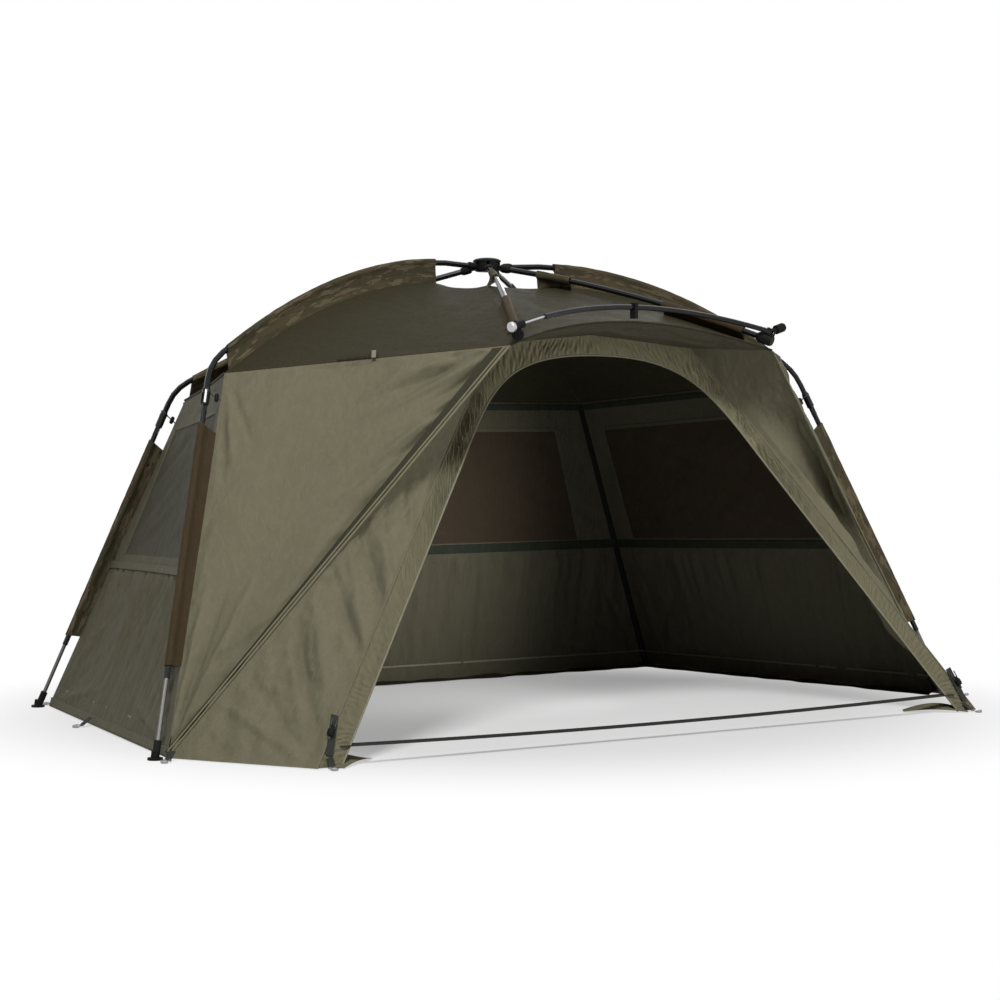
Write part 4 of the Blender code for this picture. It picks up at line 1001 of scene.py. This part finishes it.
outside, inside = ("outside",), ("inside",)
for wall in walls:
    way, out = wall_way(wall), wall_out(wall)
    for body, low, high in ((wall.first, 0.0, 0.5), (wall.last, 0.5, 1.0)):
        window_edge, pole_edge = (window_side, 0.006) if low == 0 else (1 - window_side, 0.994)
        glass = np.linspace(max(low, window_side), min(high, 1 - window_side), 46)
        whole, rows = np.linspace(low, high, 50), np.linspace(window_top, window_sill, 40)
        full = np.linspace(0.01, 0.99, 60)
        wall_strip(wall, body, "wall_seam", whole, [seam_share], 0.022, side_cloth_painted_shade, 0.003, outside)
        wall_strip(wall, body, "wall_seam", whole, [0.526], 0.028, green_tape, 0.0012, inside)
        wall_strip(wall, body, "eaves_tape", whole, [0.018], 0.020, green_tape, 0.0012, inside)
        wall_strip(wall, body, "window_head", glass, [window_top], 0.012, side_cloth_painted_shade)
        wall_strip(wall, body, "window_edge", [window_edge], rows, 0.012, side_cloth_painted_shade)
        # Down the inside corner by the pole, a dark strip: painted shade.
        wall_strip(wall, body, "corner_tape", [pole_edge], full, 0.012, corner_shade_tape, 0.0012, inside)
        wall_strip(wall, body, "wall_hem", whole, [0.985], 0.022, side_cloth_painted_shade, sides=outside)
        wall_strip(wall, body, "hem_edge", whole, [0.942], 0.006, binding_cloth, 0.0020, inside)
        top = wall_points(wall, whole, [0.0])[0] + out * 0.001
        piece = piping(f"roof_edge_{wall.panel}_by_{body}", top, 0.0028, roof_cloth, body)
        wall_gather(piece, body, way)

        hem_line = wall_points(wall, np.linspace(low, high, 60), [1.0])[0] - out * 0.004
        u = np.linspace(0, 1, 9)[None, :, None]
        wavy = ripple(hem_line, upward, 0.07, 0.07, wall.seed + 9)[:, None, None]
        apron = hem_line[:, None] - out * u * (0.055 + 0.020 * wavy)
        apron[..., 2] = 0.004 + 0.010 * np.sin(math.pi * u[..., 0]) * (0.5 + wavy[..., 0])
        apron[..., 2] = np.maximum(apron[..., 2], 0.0035)
        piece = cut_cloth(f"ground_flap_{wall.panel}_by_{body}", facing(apron, upward), roof_cloth, body)
        wall_gather(piece, body, way)


# Ground strap: flat webbing sewn to the feet of the door's band, which it holds apart. It runs just
# above the ground, a little slack in the middle, and each half rides with its own side.
webbing, webbing_shader, webbing_place = finish("woven_webbing", Specular_IOR_Level=0.3)
webbing_wave = {"Vector": webbing_place, "Scale": 160.0, "Distortion": 0.6}
webbing_rib = webbing_place.node("ShaderNodeTexWave", webbing_wave, bands_direction="X")
webbing_cloud = mottle(webbing_place, 30)
feed(webbing_shader, Base_Color=colours(webbing_cloud, (0.009, 0.010, 0.008), (0.017, 0.018, 0.014)),
     Roughness=0.62 + webbing_cloud * 0.2, Normal=bump(webbing_rib, 0.5, 0.001))
strap_height, strap_wide, strap_slack = 0.050, 0.025, 0.012
strap_half = door_half(strap_height) + 0.030
strap_face = unit(spot_at(0, -0.16, 1))
behind_door = unit(spot_at(0, 1, -door_lean)) * 0.004
for side_name, turn in hands.items():
    out = np.linspace(0, strap_half, 40)[:, None]
    path = out * spot_at(turn[0], 0, 0) + on_door(0, strap_height) + behind_door
    path = path - upward * strap_slack * (1 - (out / strap_half) ** 2)
    piece = tape("ground_strap_" + side_name, path, strap_face, strap_wide, webbing, "rib_front_" + side_name,
                 0.0016)
    if side_name == "right":
        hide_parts("ground_strap")
    fold_up(piece, (1, 0, 0), spot_at(0.95, -0.75, 0.05) * turn)


# Roof straps: on the seam between the roof and each wing a short strap of the roof's cloth is sewn
# down, with a loop of lighter tape at its end.
for side_name, turn in hands.items():
    body = "rib_front_" + side_name
    along = np.linspace(0.40, 0.545, 20)[:, None]
    out = unit(spot_at(0.5, -0.75, 0.45) * turn)
    path = between(front_top, peak_corner, along) * turn + upward * 0.009
    strap_end = path[16:19] + out * 0.005
    wing_gather(tape("roof_strap_" + side_name, path + out * 0.003, out, 0.010, roof_cloth, body), turn)
    wing_gather(tape("roof_tab_" + side_name, strap_end, out, 0.022, binding_cloth, body), turn)


# Pegging points: at each corner of the skin and beside the door a webbing tab holds a ring and a
# steel peg, of which the round head shows. A cord lock draws in the foot of the door's band, and a
# small flap of cloth lies on the ground there.
black_cord, cord_shader, cord_place = finish("elastic_cord", Roughness=0.6)
cord_weave = mottle(cord_place, 1400, 2.0)
feed(cord_shader, Base_Color=colours(cord_weave, (0.008, 0.008, 0.008), (0.030, 0.030, 0.028)),
     Normal=bump(cord_weave, 0.5, 0.0004))
peg_steel, peg_shader, peg_place = finish("peg_steel", Metallic=1.0)
peg_cloud = mottle(peg_place, 220, 4.0)
feed(peg_shader, Base_Color=colours(peg_cloud, (0.20, 0.20, 0.20), (0.42, 0.42, 0.42)),
     Roughness=0.28 + peg_cloud * 0.2)

# Outlines of the turned pieces, as radii and distances along their axis.
peg_outline = ((0.002, 0), (0.0085, 0.0004), (0.0095, 0.002), (0.0095, 0.006), (0.0075, 0.008),
               (0.0025, 0.0086))
lock_outline = ((0.003, -0.013), (0.0075, -0.012), (0.0092, -0.006), (0.0092, 0.004), (0.007, 0.006),
                (0.0055, 0.0065), (0.0055, 0.012), (0.004, 0.014))
toggle_outline = ((0.002, -0.011), (0.005, -0.0095), (0.006, 0), (0.005, 0.0095), (0.002, 0.011))


def turned_piece(name, outline, at, axis, paint, body):
    """A piece turned about an axis from an outline."""
    axis = unit(axis)
    side = unit(np.cross(axis, spot_at(0.3, 0.5, 0.81)))
    other = np.cross(axis, side)
    angles = math.tau * np.arange(28) / 28
    rings = [[at + axis * z + (side * math.cos(a) + other * math.sin(a)) * r for a in angles]
             for r, z in outline]
    return hang(loft(name, np.array(rings), paint, 35), body)


def loop_path(centre, radius, first, second):
    angles = np.linspace(0, math.tau, 33)[:, None]
    return centre + radius * (np.cos(angles) * first + np.sin(angles) * second)


def pegged(place, body, side_name, at, outward):
    """A tab from the hem, a ring and a peg's head at a place on the ground, given for the right."""
    label, turn = f"{place}_{side_name}", hands[side_name]
    at, outward = spot_at(*at, 0) * turn, unit(spot_at(*outward, 0) * turn)
    inner = at - outward * 0.030
    run = np.linspace(0, 1, 14)[:, None]
    tab_path = inner + (at - inner) * run + upward * (0.018 * (1 - run) + 0.0045)
    ring = loop_path(at + outward * 0.010 + upward * 0.006, 0.012, outward, np.cross(upward, outward))
    head = at + outward * 0.018 + upward * 0.0005
    return [tape(f"peg_tab_{label}", tab_path, upward, 0.018, webbing, body, 0.0016),
            piping(f"peg_ring_{label}", ring, 0.0018, peg_steel, body),
            turned_piece(f"peg_head_{label}", peg_outline, head, upward, peg_steel, body)]


def cord_lock(label, at, way, body):
    """A spring cord lock with its button on a doubled cord."""
    way = unit(way)
    beside = unit(np.cross(way, forward))
    run = np.linspace(-1, 1, 25)[:, None]
    cord = at - way * (0.052 * (1 - run ** 2) - 0.030) + beside * 0.007 * np.sin(run * math.pi / 2) ** 3
    return [turned_piece(f"cord_lock_{label}", lock_outline, at, way, nylon, body),
            piping(f"cord_loop_{label}", cord, 0.0016, black_cord, body)]


for side_name, turn in hands.items():
    body = "rib_front_" + side_name
    pieces = pegged("door", body, side_name, (1.030, -0.8060), (0.3, -1))
    pieces += pegged("foot", body, side_name, (1.296, -0.4800), (0.8, -0.7))
    lock_at = on_door(1.010, 0.085) * turn + forward * 0.010
    pieces += cord_lock("door_" + side_name, lock_at, spot_at(-0.55, 0.3, 1) * turn, body)
    tab_run = zip(np.linspace(0.990, 1.024, 16), np.linspace(0.120, 0.030, 16))
    tab_path = np.stack([on_door(x, z) * turn + forward * 0.004 for x, z in tab_run])
    pieces.append(tape("door_tab_" + side_name, tab_path, spot_at(0, -1, 0.35), 0.020, webbing, body, 0.0016))
    u, v = np.linspace(0, 1, 20)[:, None, None], np.linspace(0, 1, 12)[None, :, None]
    near, far = spot_at(1.004, -0.815, 0.004) * turn, spot_at(1.046, -0.762, 0.004) * turn
    tip = spot_at(0.862, -0.705, 0.004) * turn
    flap = between(near, far, v) * (1 - u) + (tip + (far - near) * 0.6 * v) * u
    flap = flap + upward * (0.018 * np.sin(math.pi * u) * (0.35 + 0.65 * v))
    pieces.append(cut_cloth("door_flap_" + side_name, facing(flap, upward), wall_cloth, body))
    for piece in pieces:
        wing_gather(piece, turn)

for side_name, turn in hands.items():
    body = "rib_rear_" + side_name
    pieces = pegged("side", body, side_name, (1.186, 0.262), (1, -0.2))
    pieces += pegged("rear", body, side_name, (1.050, 0.780), (0.4, 1))
    for piece in pieces:
        wall_gather(piece, body, unit((rear_hem - front_hem) * level) * turn)


# Corner ties: above each knee a short elastic cord with a moulded toggle ties the skin's corner to
# the pole, so that the cloth can be drawn tight there.
tie_share, tie_radius, tie_cord = 0.075, 0.0105, 0.0018
for corner_name, turn, foot, hem in corners:
    body = "rib_" + corner_name
    pole_at = between(arms[body].end, foot, tie_share)
    to_skin = between(arms[body].corner, hem, tie_share) - pole_at
    leg_way, reach = unit(foot - arms[body].end), unit(to_skin)
    ring = loop_path(pole_at, tie_radius, reach, np.cross(leg_way, reach))
    piping("corner_tie_" + corner_name, ring, tie_cord, black_cord, body)
    run = np.linspace(0, 1, 12)[:, None]
    path = pole_at + reach * tie_radius * (1 - run) + to_skin * run
    piping("corner_cord_" + corner_name, path, tie_cord, black_cord, body)
    turned_piece("corner_toggle_" + corner_name, toggle_outline, pole_at + to_skin * 0.72, leg_way,
                 nylon, body)
